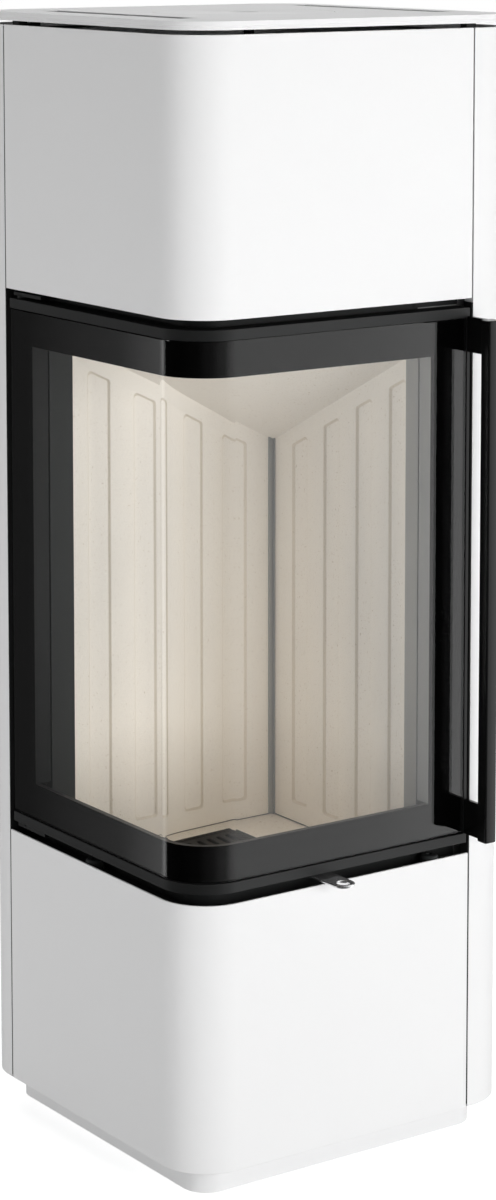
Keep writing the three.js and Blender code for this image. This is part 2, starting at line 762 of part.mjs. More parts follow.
// round duct from the back panel, bent up to the firebox floor
class DuctRoute extends THREE.Curve {
  getPoint(t, target = new THREE.Vector3()) {
    const back = bodyDepth + ductReach;
    const bendY = ductFromFront + ductBendRadius;
    const bendZ = ductHeight + ductBendRadius;
    const top = floorPlateBottom - seat;
    if (t < ductRouteSplit) {
      return target.set(centreX, back + (bendY - back) * (t / ductRouteSplit), ductHeight);
    }
    if (t > 1 - ductRouteSplit) {
      return target.set(centreX, ductFromFront,
        bendZ + (top - bendZ) * ((t - 1 + ductRouteSplit) / ductRouteSplit));
    }
    const angle = ((t - ductRouteSplit) / (1 - 2 * ductRouteSplit)) * (Math.PI / 2);
    return target.set(centreX, bendY - ductBendRadius * Math.sin(angle),
      bendZ - ductBendRadius * Math.cos(angle));
  }

  getPointAt(u, target) {
    return this.getPoint(u, target);
  }

  getTangentAt(u, target = new THREE.Vector3()) {
    const quarter = Math.min(Math.max((u - ductRouteSplit) / (1 - 2 * ductRouteSplit), 0), 1) * (Math.PI / 2);
    return target.set(0, -Math.cos(quarter), Math.sin(quarter));
  }

  computeFrenetFrames(segments) {
    const tangents = Array.from({ length: segments + 1 }, (_, index) => this.getTangentAt(index / segments));
    const normals = tangents.map(() => new THREE.Vector3(1, 0, 0));
    const binormals = tangents.map((tangent, index) =>
      new THREE.Vector3().crossVectors(tangent, normals[index]));
    return { tangents, normals, binormals };
  }
}

const ductSteps = 10;
const ductRouteSplit = 1 / ductSteps; // share of the steps on each straight run

function airDuct() {
  const ring = new THREE.Shape().absarc(0, 0, ductRadius, 0, Math.PI * 2);
  ring.holes.push(new THREE.Path().absarc(0, 0, ductRadius - ductWall, 0, Math.PI * 2));
  return new THREE.ExtrudeGeometry(ring, {
    steps: ductSteps, extrudePath: new DuctRoute(), curveSegments: roundSides / 4, bevelEnabled: false,
  });
}

const airBoxTop = leverBottom - seat * 2;

function airBox() {
  const near = frameInner + airBoxInset;
  const far = ledgeDepth - frameSheet - airBoxInset;
  const right = bodyWidth - airBoxRightMargin;
  const slots = Array.from({ length: airSlots }, (_, index) => {
    const x = centreX + (index - (airSlots - 1) / 2) * airSlotPitch;
    const y = (near + far) / 2;
    return box(x - airSlotWidth / 2, x + airSlotWidth / 2, y - airSlotLength / 2, y + airSlotLength / 2,
      airBoxTop - airBoxSheet - past, airBoxTop + past);
  });
  const hollow = box(airBoxLeft + airBoxSheet, right - airBoxSheet, near + airBoxSheet, far - airBoxSheet,
    stoneBottom - past, airBoxTop - airBoxSheet);
  return cut(box(airBoxLeft, right, near, far, stoneBottom, airBoxTop), hollow, ...slots);
}

// low steel ledge behind the sill: a top plate and a rear wall that stands on the firebox floor
function frontLedge() {
  const near = frameInner + seat;
  const right = lipX - seat;
  const shape = new THREE.Shape();
  shape.moveTo(right, near);
  shape.lineTo(right, ledgeDepth);
  shape.lineTo(near, ledgeDepth);
  shape.absarc(cornerRadius, cornerRadius, cornerRadius - near, Math.PI, Math.PI * 1.5);
  const rearWall = box(near, right, ledgeDepth - frameSheet, ledgeDepth, stoneBottom, ledgeTop - past);
  return join(prism(shape, ledgeTop - frameSheet, ledgeTop), rearWall);
}

// flat tab with a round eye outside and a wide slide plate over the air slots inside
function airLever() {
  const half = leverWidth / 2;
  const shape = new THREE.Shape();
  shape.moveTo(leverFromLeft + half, -leverReach);
  shape.lineTo(leverFromLeft + half, slidePlateFront);
  shape.lineTo(slidePlateRight, slidePlateFront);
  shape.lineTo(slidePlateRight, slidePlateBack);
  shape.lineTo(slidePlateLeft, slidePlateBack);
  shape.lineTo(slidePlateLeft, slidePlateFront);
  shape.lineTo(leverFromLeft - half, slidePlateFront);
  shape.absarc(leverFromLeft, -leverReach, half, Math.PI, Math.PI * 2);
  shape.holes.push(new THREE.Path().absarc(leverFromLeft, -leverReach, leverEyeRadius, 0, Math.PI * 2));
  return prism(shape, leverBottom, leverTop);
}

add('air_duct', airDuct(), rawSteel);
add('air_box', airBox(), rawSteel);
add('front_ledge', frontLedge(), blackSteel);
add('air_lever', airLever(), polishedSteel);

// ---- smoke box and flue spigot ----

const smokeBoxBottom = fireboxTop + frameSheet + seat;
const smokeBoxBack = centreY + smokeBoxSize / 2;

function smokeBox() {
  const half = smokeBoxSize / 2;
  const inner = half - smokeBoxWall;
  const top = smokeBoxBottom + smokeBoxHeight;
  const hollow = box(centreX - inner, centreX + inner, centreY - inner, centreY + inner,
    smokeBoxBottom - past, top - smokeBoxWall);
  const outlet = lying(centreX, flueHeight, flueRadius - flueWall, smokeBoxBack - smokeBoxWall - past,
    smokeBoxBack + past);
  return cut(box(centreX - half, centreX + half, centreY - half, centreY + half, smokeBoxBottom, top),
    hollow, outlet);
}

function flueSpigot() {
  const start = smokeBoxBack + seat;
  const end = bodyDepth + flueReach;
  return cut(lying(centreX, flueHeight, flueRadius, start, end),
    lying(centreX, flueHeight, flueRadius - flueWall, start - past, end + past));
}

add('smoke_box', smokeBox(), rawSteel);
add('flue_spigot', flueSpigot(), blackSteel);

// ---- hinge brackets and rests under the door ----

const bracketEndY = doorBackEnd;
const bracketTop = doorBottom - seat - bracketGap;

// bracket plate welded to the sealing frame, with its pin standing in the door's rail
function hingeBracketBottom() {
  const plate = box(bracketFromFace, sealPlane - seat, bracketEndY - bracketLength, bracketEndY,
    bracketTop - bracketSheet, bracketTop);
  const collar = upright(hingeX, hingeY, collarRadius, bracketTop - past, doorBottom - seat, 24);
  const pin = upright(hingeX, hingeY, pinRadius, bracketTop - past, doorBottom + pinLength, 24);
  return join(plate, collar, pin);
}

function hingeBracketTop() {
  const low = doorTop + bracketGap;
  const plate = box(bracketFromFace, sealPlane - seat, bracketEndY - bracketLength, bracketEndY,
    low, low + bracketSheet);
  const collar = upright(hingeX, hingeY, collarRadius, doorTop + seat, low + past, 24);
  return join(plate, collar, upright(hingeX, hingeY, pinRadius, doorTop - pinLength, low + past, 24));
}

// low domed rest screws on the lower ledge
function doorRest(x, y) {
  const base = lowerLedgeTop + seat;
  const profile = [
    new THREE.Vector2(0, 0),
    new THREE.Vector2(restRadius, 0),
    new THREE.Vector2(restRadius, restHeight * 0.7),
    new THREE.Vector2(restRadius * 0.8, restHeight * 0.92),
    new THREE.Vector2(0, restHeight),
  ];
  return new THREE.LatheGeometry(profile, 24).rotateX(Math.PI / 2).translate(x, y, base);
}

add('hinge_bracket_bottom', hingeBracketBottom(), blackSteel);
add('hinge_bracket_top', hingeBracketTop(), blackSteel);
add('door_rest_left', doorRest(restFromFace, seamY - leftRestFromSeam), greySteel);
add('door_rest_front', doorRest(seamX - frontRestFromSeam, restFromFace), greySteel);

// ---- door ----

const door = new THREE.Group();
stove.add(door);

const railDepthBack = doorThickness - hingeEndRelief;
const pinHole = (z0, z1) => upright(hingeX, hingeY, pinRadius + pinClearance, z0, z1, 24);

// the part of a rail behind the pin is thinner, so that it clears the jamb when the door swings
function hingeRelief(z0, z1) {
  return box(railDepthBack, doorThickness + past, hingeY, doorBackEnd + past, z0 - past, z1 + past);
}

function topRail() {
  const strip = prism(bentStrip(0, doorThickness, doorBackEnd, doorRightEnd), doorTop - railStrip, doorTop);
  const lip = prism(bentStrip(glassBack, glassBack + railLip, glassBackEnd, glassRightEnd), windowTop,
    doorTop - railStrip + past);
  const back = prism(bentStrip(glassBack + railLip - past, doorThickness, glassBackEnd, glassRightEnd),
    windowTop + railStep, doorTop - railStrip + past);
  return cut(join(strip, lip, back), hingeRelief(windowTop, doorTop),
    pinHole(doorTop - railStrip - past, doorTop + past));
}

function bottomRail() {
  const strip = prism(bentStrip(0, doorThickness, doorBackEnd, doorRightEnd), doorBottom,
    doorBottom + railStrip);
  const lip = prism(bentStrip(glassBack, glassBack + railLip, glassBackEnd, glassRightEnd),
    doorBottom + railStrip - past, windowBottom);
  const back = prism(bentStrip(glassBack + railLip - past, doorThickness, glassBackEnd, glassRightEnd),
    doorBottom + railStrip - past, windowBottom - railStep);
  return cut(join(strip, lip, back), hingeRelief(doorBottom, windowBottom),
    pinHole(doorBottom - past, doorBottom + railStrip + past));
}

const stileLow = windowBottom + seat;
const stileHigh = windowTop - seat;

function hingeStile() {
  const shape = polygon([glassBack, windowBack], [doorThickness, windowBack], [doorThickness, hingeY],
    [railDepthBack, hingeY], [railDepthBack, doorBackEnd], [glassBack, doorBackEnd]);
  return prism(shape, stileLow, stileHigh);
}

// stands behind the glass and shows a narrow bare edge beside it
function lockStile() {
  const edge = doorRightEnd - lockEdgeStrip;
  const low = doorBottom + railStrip + seat;
  const high = doorTop - railStrip - seat;
  const edgeStrip = box(edge, doorRightEnd, 0, doorThickness, low, high);
  const web = box(windowRight, edge + past, glassBack, doorThickness, stileLow, stileHigh);
  return join(edgeStrip, web);
}

function doorGlass() {
  const outer = glassRecess;
  return prism(bentStrip(outer, outer + glassThickness, glassBackEnd, glassRightEnd), glassBottom, glassTop);
}

// rope seal, one closed loop on the inside of the frame
function doorSeal() {
  const low = windowBottom - railStep - sealFromWindow;
  const high = windowTop + railStep + sealFromWindow;
  const backEnd = windowBack + sealFromWindow + sealWidth;
  const rightEnd = windowRight + sealFromWindow + sealWidth;
  const near = doorThickness + seat;
  const far = near + sealThickness - seat * 2;
  const whole = prism(bentStrip(near, far, backEnd, rightEnd), low - sealWidth, high + sealWidth);
  const inner = box(0, rightEnd - sealWidth, 0, backEnd - sealWidth, low, high);
  return cut(whole, inner);
}

const barRight = doorRightEnd + handleRightReach;
const barLeft = barRight - handleBar;
const barLow = doorBottom + handleBottomRise;
const barHigh = doorTop - handleTopDrop;

// square bar with slightly rounded long edges
function handleBarSolid() {
  const round = handleEdgeRound;
  const front = -handleGap - handleBar;
  const back = -handleGap;
  const shape = new THREE.Shape();
  shape.moveTo(barLeft + round, front);
  shape.absarc(barRight - round, front + round, round, -Math.PI / 2, 0);
  shape.absarc(barRight - round, back - round, round, 0, Math.PI / 2);
  shape.absarc(barLeft + round, back - round, round, Math.PI / 2, Math.PI);
  shape.absarc(barLeft + round, front + round, round, Math.PI, Math.PI * 1.5);
  const geometry = new THREE.ExtrudeGeometry(shape,
    { depth: barHigh - barLow, bevelEnabled: false, curveSegments: 2 });
  return geometry.translate(0, 0, barLow);
}

function handleArm(low) {
  const left = barLeft + armFromBarEdge;
  return box(left, left + armThickness, -handleGap + seat, -seat, low, low + armHeight);
}

add('door_top_rail', topRail(), blackSteel, door);
add('door_bottom_rail', bottomRail(), blackSteel, door);
add('door_hinge_stile', hingeStile(), blackSteel, door);
add('door_lock_stile', lockStile(), blackSteel, door);
add('door_glass', doorGlass(), clearGlass, door);
add('door_seal', doorSeal(), ropeSeal, door);
add('handle_bar', handleBarSolid(), handleBlack, door);
add('handle_arm_top', handleArm(barHigh - armHeight), handleBlack, door);
add('handle_arm_bottom', handleArm(barLow), handleBlack, door);

export default stove;
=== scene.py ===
import json
import math

import bmesh
import bpy
from mathutils import Matrix, Vector


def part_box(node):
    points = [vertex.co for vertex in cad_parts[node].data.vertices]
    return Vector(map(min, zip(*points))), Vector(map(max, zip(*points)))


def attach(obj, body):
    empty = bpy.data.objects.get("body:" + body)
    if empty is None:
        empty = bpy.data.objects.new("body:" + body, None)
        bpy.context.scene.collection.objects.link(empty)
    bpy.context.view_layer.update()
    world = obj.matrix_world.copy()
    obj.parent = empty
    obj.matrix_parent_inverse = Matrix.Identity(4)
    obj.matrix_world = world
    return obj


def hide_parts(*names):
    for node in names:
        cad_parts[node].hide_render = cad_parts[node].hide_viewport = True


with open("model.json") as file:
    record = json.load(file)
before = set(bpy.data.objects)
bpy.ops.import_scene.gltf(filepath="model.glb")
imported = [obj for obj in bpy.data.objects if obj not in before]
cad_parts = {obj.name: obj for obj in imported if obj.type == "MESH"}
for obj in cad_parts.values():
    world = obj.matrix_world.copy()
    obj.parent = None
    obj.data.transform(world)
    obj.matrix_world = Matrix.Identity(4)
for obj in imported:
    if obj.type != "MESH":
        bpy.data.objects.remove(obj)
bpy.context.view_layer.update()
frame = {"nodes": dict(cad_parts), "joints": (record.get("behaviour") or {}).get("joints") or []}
nodes = frame["nodes"]
scene = bpy.context.scene
print("frame loaded,", len(nodes), "pieces")

# The body's four faces, and the corner radius that every bent piece follows
casing = {
    "cornerRadius": 0.062,
    "sheet": 0.0025,
    "edge": 0.0005,
    "arcSteps": 26,
    "seamReturn": 0.016,
}
sheet = casing["sheet"]
plateLow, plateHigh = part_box("top_plate")
leftFace, frontFace = plateLow.x, plateLow.y
rightFace, backFace = plateHigh.x, plateHigh.y


# Outlines in plan, as lists of (x, y)

def arc(centreX, centreY, radius, start, end, steps=None):
    steps = steps or casing["arcSteps"]
    turns = [math.radians(start + (end - start) * i / steps) for i in range(steps + 1)]
    return [(centreX + radius * math.cos(t), centreY + radius * math.sin(t)) for t in turns]


def circle(centreX, centreY, radius, steps=96):
    return arc(centreX, centreY, radius, 0, 360, steps)[:-1]


def rectangle(x0, x1, y0, y1):
    return [(x0, y0), (x1, y0), (x1, y1), (x0, y1)]


def roundRectangle(x0, x1, y0, y1, radius, steps=6):
    return (arc(x1 - radius, y0 + radius, radius, -90, 0, steps)
            + arc(x1 - radius, y1 - radius, radius, 0, 90, steps)
            + arc(x0 + radius, y1 - radius, radius, 90, 180, steps)
            + arc(x0 + radius, y0 + radius, radius, 180, 270, steps))


def bodyOutline(inset):
    radius = casing["cornerRadius"] - inset
    return roundRectangle(leftFace + inset, rightFace - inset, frontFace + inset, backFace - inset,
                          radius, casing["arcSteps"])


# A strip bent round the front left corner, between two depths from the faces
def bentBand(outer, inner, backEnd, rightEnd):
    radius = casing["cornerRadius"]
    middleX, middleY = leftFace + radius, frontFace + radius
    return ([(leftFace + outer, backEnd)]
            + arc(middleX, middleY, radius - outer, 180, 270)
            + [(rightEnd, frontFace + outer), (rightEnd, frontFace + inner)]
            + arc(middleX, middleY, radius - inner, 270, 180)
            + [(leftFace + inner, backEnd)])


# A profile given in shares of its radius and height
def scaled(profile, radius, height):
    return [(radius * across, height * up) for across, up in profile]


# Meshes

tiny = 1e-6
creaseAngle = 28


def addMesh(name, mesh):
    piece = bpy.data.objects.new(name, mesh)
    scene.collection.objects.link(piece)
    return piece


def crispShading(mesh, angle=creaseAngle):
    mesh.shade_smooth()
    mesh.set_sharp_from_angle(angle=math.radians(angle))


# A flat piece cut from sheet or plate: outer outline first, then its holes, with eased edges
def cutPlate(name, loops, low, high, edge=None, turn=None, rounds=0):
    edge = casing["edge"] if edge is None else edge
    curve = bpy.data.curves.new(name, "CURVE")
    curve.dimensions = "2D"
    curve.fill_mode = "BOTH"
    for loop in loops:
        spline = curve.splines.new("POLY")
        spline.points.add(len(loop) - 1)
        for point, (x, y) in zip(spline.points, loop):
            point.co = (x, y, 0, 1)
        spline.use_cyclic_u = True
    curve.extrude = (high - low) / 2 - edge
    curve.bevel_depth = edge
    curve.bevel_resolution = rounds
    curve.offset = -edge
    drawn = bpy.data.objects.new(name, curve)
    scene.collection.objects.link(drawn)
    bpy.context.view_layer.update()
    mesh = bpy.data.meshes.new_from_object(drawn.evaluated_get(bpy.context.evaluated_depsgraph_get()))
    bpy.data.objects.remove(drawn)
    mesh.name = name
    mesh.transform(Matrix.Translation((0, 0, (low + high) / 2)))
    if turn is not None:
        mesh.transform(turn)
    shape = bmesh.new()
    shape.from_mesh(mesh)
    bmesh.ops.remove_doubles(shape, verts=shape.verts, dist=tiny)
    bmesh.ops.recalc_face_normals(shape, faces=shape.faces)
    shape.to_mesh(mesh)
    shape.free()
    mesh.materials.clear()
    crispShading(mesh)
    return addMesh(name, mesh)


# A piece from a drawn shape, moved into place
def builtPiece(name, shape, moves=(), angle=creaseAngle):
    mesh = bpy.data.meshes.new(name)
    shape.to_mesh(mesh)
    shape.free()
    for move in moves:
        mesh.transform(move)
    crispShading(mesh, angle)
    return addMesh(name, mesh)


# Faces between two rings of vertices, where one of them may be a single point
def bridge(shape, low, high, finish=0):
    for i in range(max(len(low), len(high))):
        j = i + 1
        corners = [low[i % len(low)], low[j % len(low)], high[j % len(high)], high[i % len(high)]]
        shape.faces.new(list(dict.fromkeys(corners))).material_index = finish


def joinPieces(name, pieces):
    shape = bmesh.new()
    for piece in pieces:
        shape.from_mesh(piece.data)
        bpy.data.objects.remove(piece)
    return builtPiece(name, shape)


# Turned piece: a profile of (radius, height) round an upright line, or one along y, through a point
def turned(name, profile, centre, alongY=False, steps=72, closed=False):
    shape = bmesh.new()
    rings = []
    for radius, height in profile:
        if radius < tiny:
            rings.append([shape.verts.new((0, 0, height))])
            continue
        rings.append([shape.verts.new((x, y, height)) for x, y in circle(0, 0, radius, steps)])
    for low, high in zip(rings, rings[1:] + (rings[:1] if closed else [])):
        bridge(shape, low, high)
    bmesh.ops.recalc_face_normals(shape, faces=shape.faces)
    moves = [Matrix.Rotation(math.radians(-90), 4, "X")] if alongY else []
    return builtPiece(name, shape, moves + [Matrix.Translation(centre)])


# Effects that several finishes share

def newGroup(name, inputs, outputs):
    group = bpy.data.node_groups.new(name, "ShaderNodeTree")
    for label, kind, value in inputs:
        socket = group.interface.new_socket(label, in_out="INPUT", socket_type=kind)
        socket.default_value = value
    for label, kind in outputs:
        group.interface.new_socket(label, in_out="OUTPUT", socket_type=kind)
    return group, group.nodes.new("NodeGroupInput"), group.nodes.new("NodeGroupOutput")


# Feeds an input with a value or with the output of another node
def feed(tree, value, target):
    if isinstance(value, bpy.types.NodeSocket):
        tree.links.new(value, target)
    else:
        target.default_value = value


# A new node with its settings and its inputs, by name or by number
def newNode(tree, kind, inputs, **settings):
    node = tree.nodes.new("ShaderNode" + kind)
    for label, value in settings.items():
        setattr(node, label, value)
    for label, value in inputs.items():
        feed(tree, value, node.inputs[label])
    return node


def noise(tree, vector, scale, detail=3.0, roughness=0.55):
    inputs = {"Vector": vector, "Scale": scale, "Detail": detail, "Roughness": roughness}
    return newNode(tree, "TexNoise", inputs).outputs[0]


def math2(tree, operation, first, second):
    return newNode(tree, "Math", {0: first, 1: second}, operation=operation).outputs[0]


# A value spread from one range, 0 to 1 unless given, over another
def spreadOver(tree, value, low, high, start=0.0, end=1.0):
    inputs = {"Value": value, "From Min": start, "From Max": end, "To Min": low, "To Max": high}
    return newNode(tree, "MapRange", inputs).outputs["Result"]


def mixShader(tree, share, first, second):
    return newNode(tree, "MixShader", {0: share, 1: first, 2: second}).outputs[0]


# 1 for rays of either kind, 0 for all others
def eitherRay(tree, first, second):
    rays = newNode(tree, "LightPath", {}).outputs
    return math2(tree, "MAXIMUM", rays[first], rays[second])


def ownPlace(tree):
    return newNode(tree, "TexCoord", {}).outputs["Object"]


# Fine grain over a slow drift of tone: a mottled colour, its mask and a height
def grainGroup():
    group, inside, outside = newGroup("grain", [
        ("Color", "NodeSocketColor", (0.5, 0.5, 0.5, 1)),
        ("Grain Scale", "NodeSocketFloat", 900.0),
        ("Grain Amount", "NodeSocketFloat", 0.1),
        ("Drift Scale", "NodeSocketFloat", 5.0),
        ("Drift Amount", "NodeSocketFloat", 0.05),
    ], [("Color", "NodeSocketColor"), ("Mask", "NodeSocketFloat"), ("Height", "NodeSocketFloat")])
    place = ownPlace(group)
    fine = noise(group, place, inside.outputs["Grain Scale"])
    slow = noise(group, place, inside.outputs["Drift Scale"], detail=2.0)
    shifts = [math2(group, "MULTIPLY", math2(group, "SUBTRACT", field, 0.5), inside.outputs[amount])
              for field, amount in ((fine, "Grain Amount"), (slow, "Drift Amount"))]
    level = math2(group, "ADD", math2(group, "ADD", *shifts), 1.0)
    shaded = newNode(group, "VectorMath", {0: inside.outputs["Color"], "Scale": level}, operation="SCALE")
    feed(group, shaded.outputs[0], outside.inputs["Color"])
    feed(group, slow, outside.inputs["Mask"])
    feed(group, fine, outside.inputs["Height"])
    return group


# Long fine lines, as rolling or brushing leaves them along one direction
def brushedGroup():
    group, inside, outside = newGroup("brushed", [
        ("Stretch", "NodeSocketVector", (6.0, 900.0, 900.0)),
        ("Low", "NodeSocketFloat", 0.3),
        ("High", "NodeSocketFloat", 0.5),
    ], [("Roughness", "NodeSocketFloat"), ("Height", "NodeSocketFloat")])
    inputs = {0: ownPlace(group), 1: inside.outputs["Stretch"]}
    stretched = newNode(group, "VectorMath", inputs, operation="MULTIPLY").outputs[0]
    lines = noise(group, stretched, 1.0, detail=2.0)
    rough = spreadOver(group, lines, inside.outputs["Low"], inside.outputs["High"])
    feed(group, rough, outside.inputs["Roughness"])
    feed(group, lines, outside.inputs["Height"])
    return group


grain = grainGroup()
brushed = brushedGroup()


# Finishes

def newMaterial(name, settings):
    material = bpy.data.materials.new(name)
    material.use_nodes = True
    tree = material.node_tree
    shader = tree.nodes["Principled BSDF"]
    for label, value in settings.items():
        shader.inputs[label].default_value = value
    return material, tree, shader


# Relief given as (strength, distance)
def bump(tree, height, shader, relief):
    node = newNode(tree, "Bump", {"Strength": relief[0], "Distance": relief[1], "Height": height})
    feed(tree, node.outputs["Normal"], shader.inputs["Normal"])


# Grain and drift of a colour, each given as (scale, amount)
def mottled(tree, color, fine, slow):
    inputs = {"Color": color, "Grain Scale": fine[0], "Grain Amount": fine[1], "Drift Scale": slow[0],
              "Drift Amount": slow[1]}
    return newNode(tree, "Group", inputs, node_tree=grain).outputs


# Any matt or satin surface with a grain
def grainyFinish(name, look):
    material, tree, shader = newMaterial(name, look["shader"])
    color = (*look["color"], 1)
    mottle = mottled(tree, color, look["grain"], look["drift"])
    feed(tree, mottle["Color"], shader.inputs["Base Color"])
    feed(tree, spreadOver(tree, mottle["Mask"], *look["rough"]), shader.inputs["Roughness"])
    bump(tree, mottle["Height"], shader, look["bump"])
    material.diffuse_color = color
    return material


# Grain of all brushed steel, as (scale, amount)
brushedGrain = (300.0, 0.06)


# Bare steel with lines along one direction
def brushedFinish(name, look):
    material, tree, shader = newMaterial(name, look["shader"])
    color = (*look["color"], 1)
    mottle = mottled(tree, color, brushedGrain, look["drift"])
    feed(tree, mottle["Color"], shader.inputs["Base Color"])
    inputs = {"Stretch": look["stretch"], "Low": look["rough"][0], "High": look["rough"][1]}
    lines = newNode(tree, "Group", inputs, node_tree=brushed).outputs
    feed(tree, lines["Roughness"], shader.inputs["Roughness"])
    bump(tree, lines["Height"], shader, look["bump"])
    material.diffuse_color = color
    return material


# Powder coat: a fine orange peel in a white that drifts very little
whiteCoat = grainyFinish("whiteCoat", {
    "color": (0.86, 0.86, 0.862), "rough": (0.42, 0.5), "bump": (0.08, 0.0004),
    "grain": (1500.0, 0.012), "drift": (3.0, 0.012), "shader": {"Metallic": 0.0, "IOR": 1.45},
})
blackCoat = grainyFinish("blackCoat", {
    "color": (0.012, 0.0125, 0.0125), "rough": (0.42, 0.55), "bump": (0.15, 0.0003),
    "grain": (1200.0, 0.35), "drift": (8.0, 0.2), "shader": {"Metallic": 0.0, "IOR": 1.5},
})
handleCoat = grainyFinish("handleCoat", {
    "color": (0.004, 0.004, 0.004), "rough": (0.2, 0.26), "bump": (0.1, 0.0002),
    "grain": (1400.0, 0.2), "drift": (10.0, 0.15), "shader": {"Metallic": 0.0, "IOR": 1.5},
})
greySteel = brushedFinish("greySteel", {
    "color": (0.42, 0.425, 0.425), "rough": (0.42, 0.62), "bump": (0.1, 0.0002),
    "drift": (12.0, 0.12), "stretch": (700.0, 700.0, 8.0), "shader": {"Metallic": 0.6},
})
# Dark steel: the door rests' own colour, and on the left jamb a darkened copy of the right jamb's grey steel,
# which is painted shade
darkSteelAndJambShade = brushedFinish("darkSteelAndJambShade", {
    "color": (0.05, 0.053, 0.053), "rough": (0.42, 0.6), "bump": (0.1, 0.0002),
    "drift": (12.0, 0.15), "stretch": (700.0, 700.0, 8.0), "shader": {"Metallic": 0.5},
})
rawSteel = brushedFinish("rawSteel", {
    "color": (0.33, 0.34, 0.35), "rough": (0.35, 0.55), "bump": (0.08, 0.0002),
    "drift": (6.0, 0.35), "stretch": (10.0, 600.0, 600.0), "shader": {"Metallic": 0.85},
})
polishedSteel = brushedFinish("polishedSteel", {
    "color": (0.8, 0.8, 0.81), "rough": (0.12, 0.18), "bump": (0.04, 0.0001),
    "drift": (20.0, 0.08), "stretch": (900.0, 20.0, 900.0), "shader": {"Metallic": 0.88},
})
castIron = grainyFinish("castIron", {
    "color": (0.012, 0.012, 0.013), "rough": (0.6, 0.8), "bump": (0.5, 0.0006),
    "grain": (450.0, 0.6), "drift": (15.0, 0.4), "shader": {"Metallic": 0.1},
})
rubberFinish = grainyFinish("rubberFinish", {
    "color": (0.014, 0.014, 0.014), "rough": (0.75, 0.9), "bump": (0.2, 0.0003),
    "grain": (800.0, 0.3), "drift": (30.0, 0.2), "shader": {"Metallic": 0.0},
})


# Pressed fire board: cream, with flecks of mica and small pits
def fireBoard(name, color):
    look = {
        "grain": (700.0, 0.1),
        "drift": (7.0, 0.07),
        "fleck": (0.62, 0.53, 0.42, 1),
        "fleckScale": 420.0,
        "fleckRange": (0.66, 0.78),
        "bump": (0.25, 0.0005),
        "shader": {"Roughness": 0.92, "Metallic": 0.0},
    }
    material, tree, shader = newMaterial(name, look["shader"])
    mottle = mottled(tree, color, look["grain"], look["drift"])
    spots = noise(tree, ownPlace(tree), look["fleckScale"], detail=1.0)
    picked = spreadOver(tree, spots, 0.0, 1.0, *look["fleckRange"])
    mix = newNode(tree, "Mix", {"A": mottle["Color"], "B": look["fleck"]}, data_type="RGBA")
    feed(tree, picked, mix.inputs["Factor"])
    feed(tree, mix.outputs["Result"], shader.inputs["Base Color"])
    bump(tree, mottle["Height"], shader, look["bump"])
    material.diffuse_color = color
    return material


# Rope of woven glass: slanted strands
def ropeFinish():
    look = {
        "strandScale": 260.0,
        "distortion": 1.5,
        "rough": (0.8, 1.0),
        "bump": (0.8, 0.001),
        "shader": {"Base Color": (0.05, 0.048, 0.045, 1)},
    }
    material, tree, shader = newMaterial("ropeFinish", look["shader"])
    inputs = {"Vector": ownPlace(tree), "Scale": look["strandScale"], "Distortion": look["distortion"]}
    strands = newNode(tree, "TexWave", inputs, bands_direction="DIAGONAL").outputs["Fac"]
    feed(tree, spreadOver(tree, strands, *look["rough"]), shader.inputs["Roughness"])
    bump(tree, strands, shader, look["bump"])
    return material


# Clear glass that lets the lamps and the bounced light through
def clearGlass():
    look = {
        "through": (0.97, 0.975, 0.972, 1),
        "smearScale": 4.0,
        "rough": (0.0, 0.015),
        "solidView": (0.2, 0.22, 0.24, 0.4),
        "shader": {"Base Color": (0.985, 0.99, 0.987, 1), "IOR": 1.48, "Transmission Weight": 1.0,
                   "Metallic": 0.0},
    }
    material, tree, shader = newMaterial("clearGlass", look["shader"])
    smear = noise(tree, ownPlace(tree), look["smearScale"], detail=2.0)
    feed(tree, spreadOver(tree, smear, *look["rough"]), shader.inputs["Roughness"])
    clear = newNode(tree, "BsdfTransparent", {"Color": look["through"]}).outputs["BSDF"]
    through = eitherRay(tree, "Is Shadow Ray", "Is Diffuse Ray")
    both = mixShader(tree, through, shader.outputs["BSDF"], clear)
    feed(tree, both, tree.nodes["Material Output"].inputs["Surface"])
    material.diffuse_color = look["solidView"]
    return material


# Black enamel fired onto the back of the glass
printFinish = grainyFinish("printFinish", {
    "color": (0.0008, 0.0008, 0.0008), "rough": (0.5, 0.6), "bump": (0.05, 0.0001),
    "grain": (1000.0, 0.2), "drift": (5.0, 0.1), "shader": {"Metallic": 0.0, "Specular IOR Level": 0.0},
})
creamBoard = fireBoard("creamBoard", (0.92, 0.86, 0.785, 1))
# Browner copy of the cream board for the groove flanks: painted shade in the grooves
grooveShade = fireBoard("grooveShade", (0.8, 0.725, 0.625, 1))
ropeSeal = ropeFinish()
glassFinish = clearGlass()
print("finishes made")


# Gives a piece its finish, its body, its material slot and the solids that it stands for
def dress(piece, material, body="stove_body", stands=(), second=None):
    for finish in filter(None, (material, second)):
        piece.data.materials.append(finish)
    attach(piece, body)
    if stands:
        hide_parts(*stands)


# Casing

def bentPanel(name, node):
    low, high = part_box(node)
    outline = bentBand(0, sheet, high.y, high.x)
    piece = cutPlate(name, [outline], low.z, high.z)
    dress(piece, whiteCoat, stands=(node,))


def rightShell():
    low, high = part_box("right_side_panel")
    radius = casing["cornerRadius"]
    depth = casing["seamReturn"]
    cornerX, frontY, backY = rightFace - radius, frontFace + radius, backFace - radius
    inner = low.x + sheet
    outline = ([(low.x, frontFace)]
               + arc(cornerX, frontY, radius, -90, 0)
               + arc(cornerX, backY, radius, 0, 90)
               + [(low.x, backFace), (low.x, backFace - depth), (inner, backFace - depth),
                  (inner, backFace - sheet)]
               + arc(cornerX, backY, radius - sheet, 90, 0)
               + arc(cornerX, frontY, radius - sheet, 0, -90)
               + [(inner, frontFace + sheet), (inner, frontFace + depth), (low.x, frontFace + depth)])
    piece = cutPlate("rightSideShell", [outline], low.z, high.z)
    dress(piece, whiteCoat, stands=("right_side_panel",))


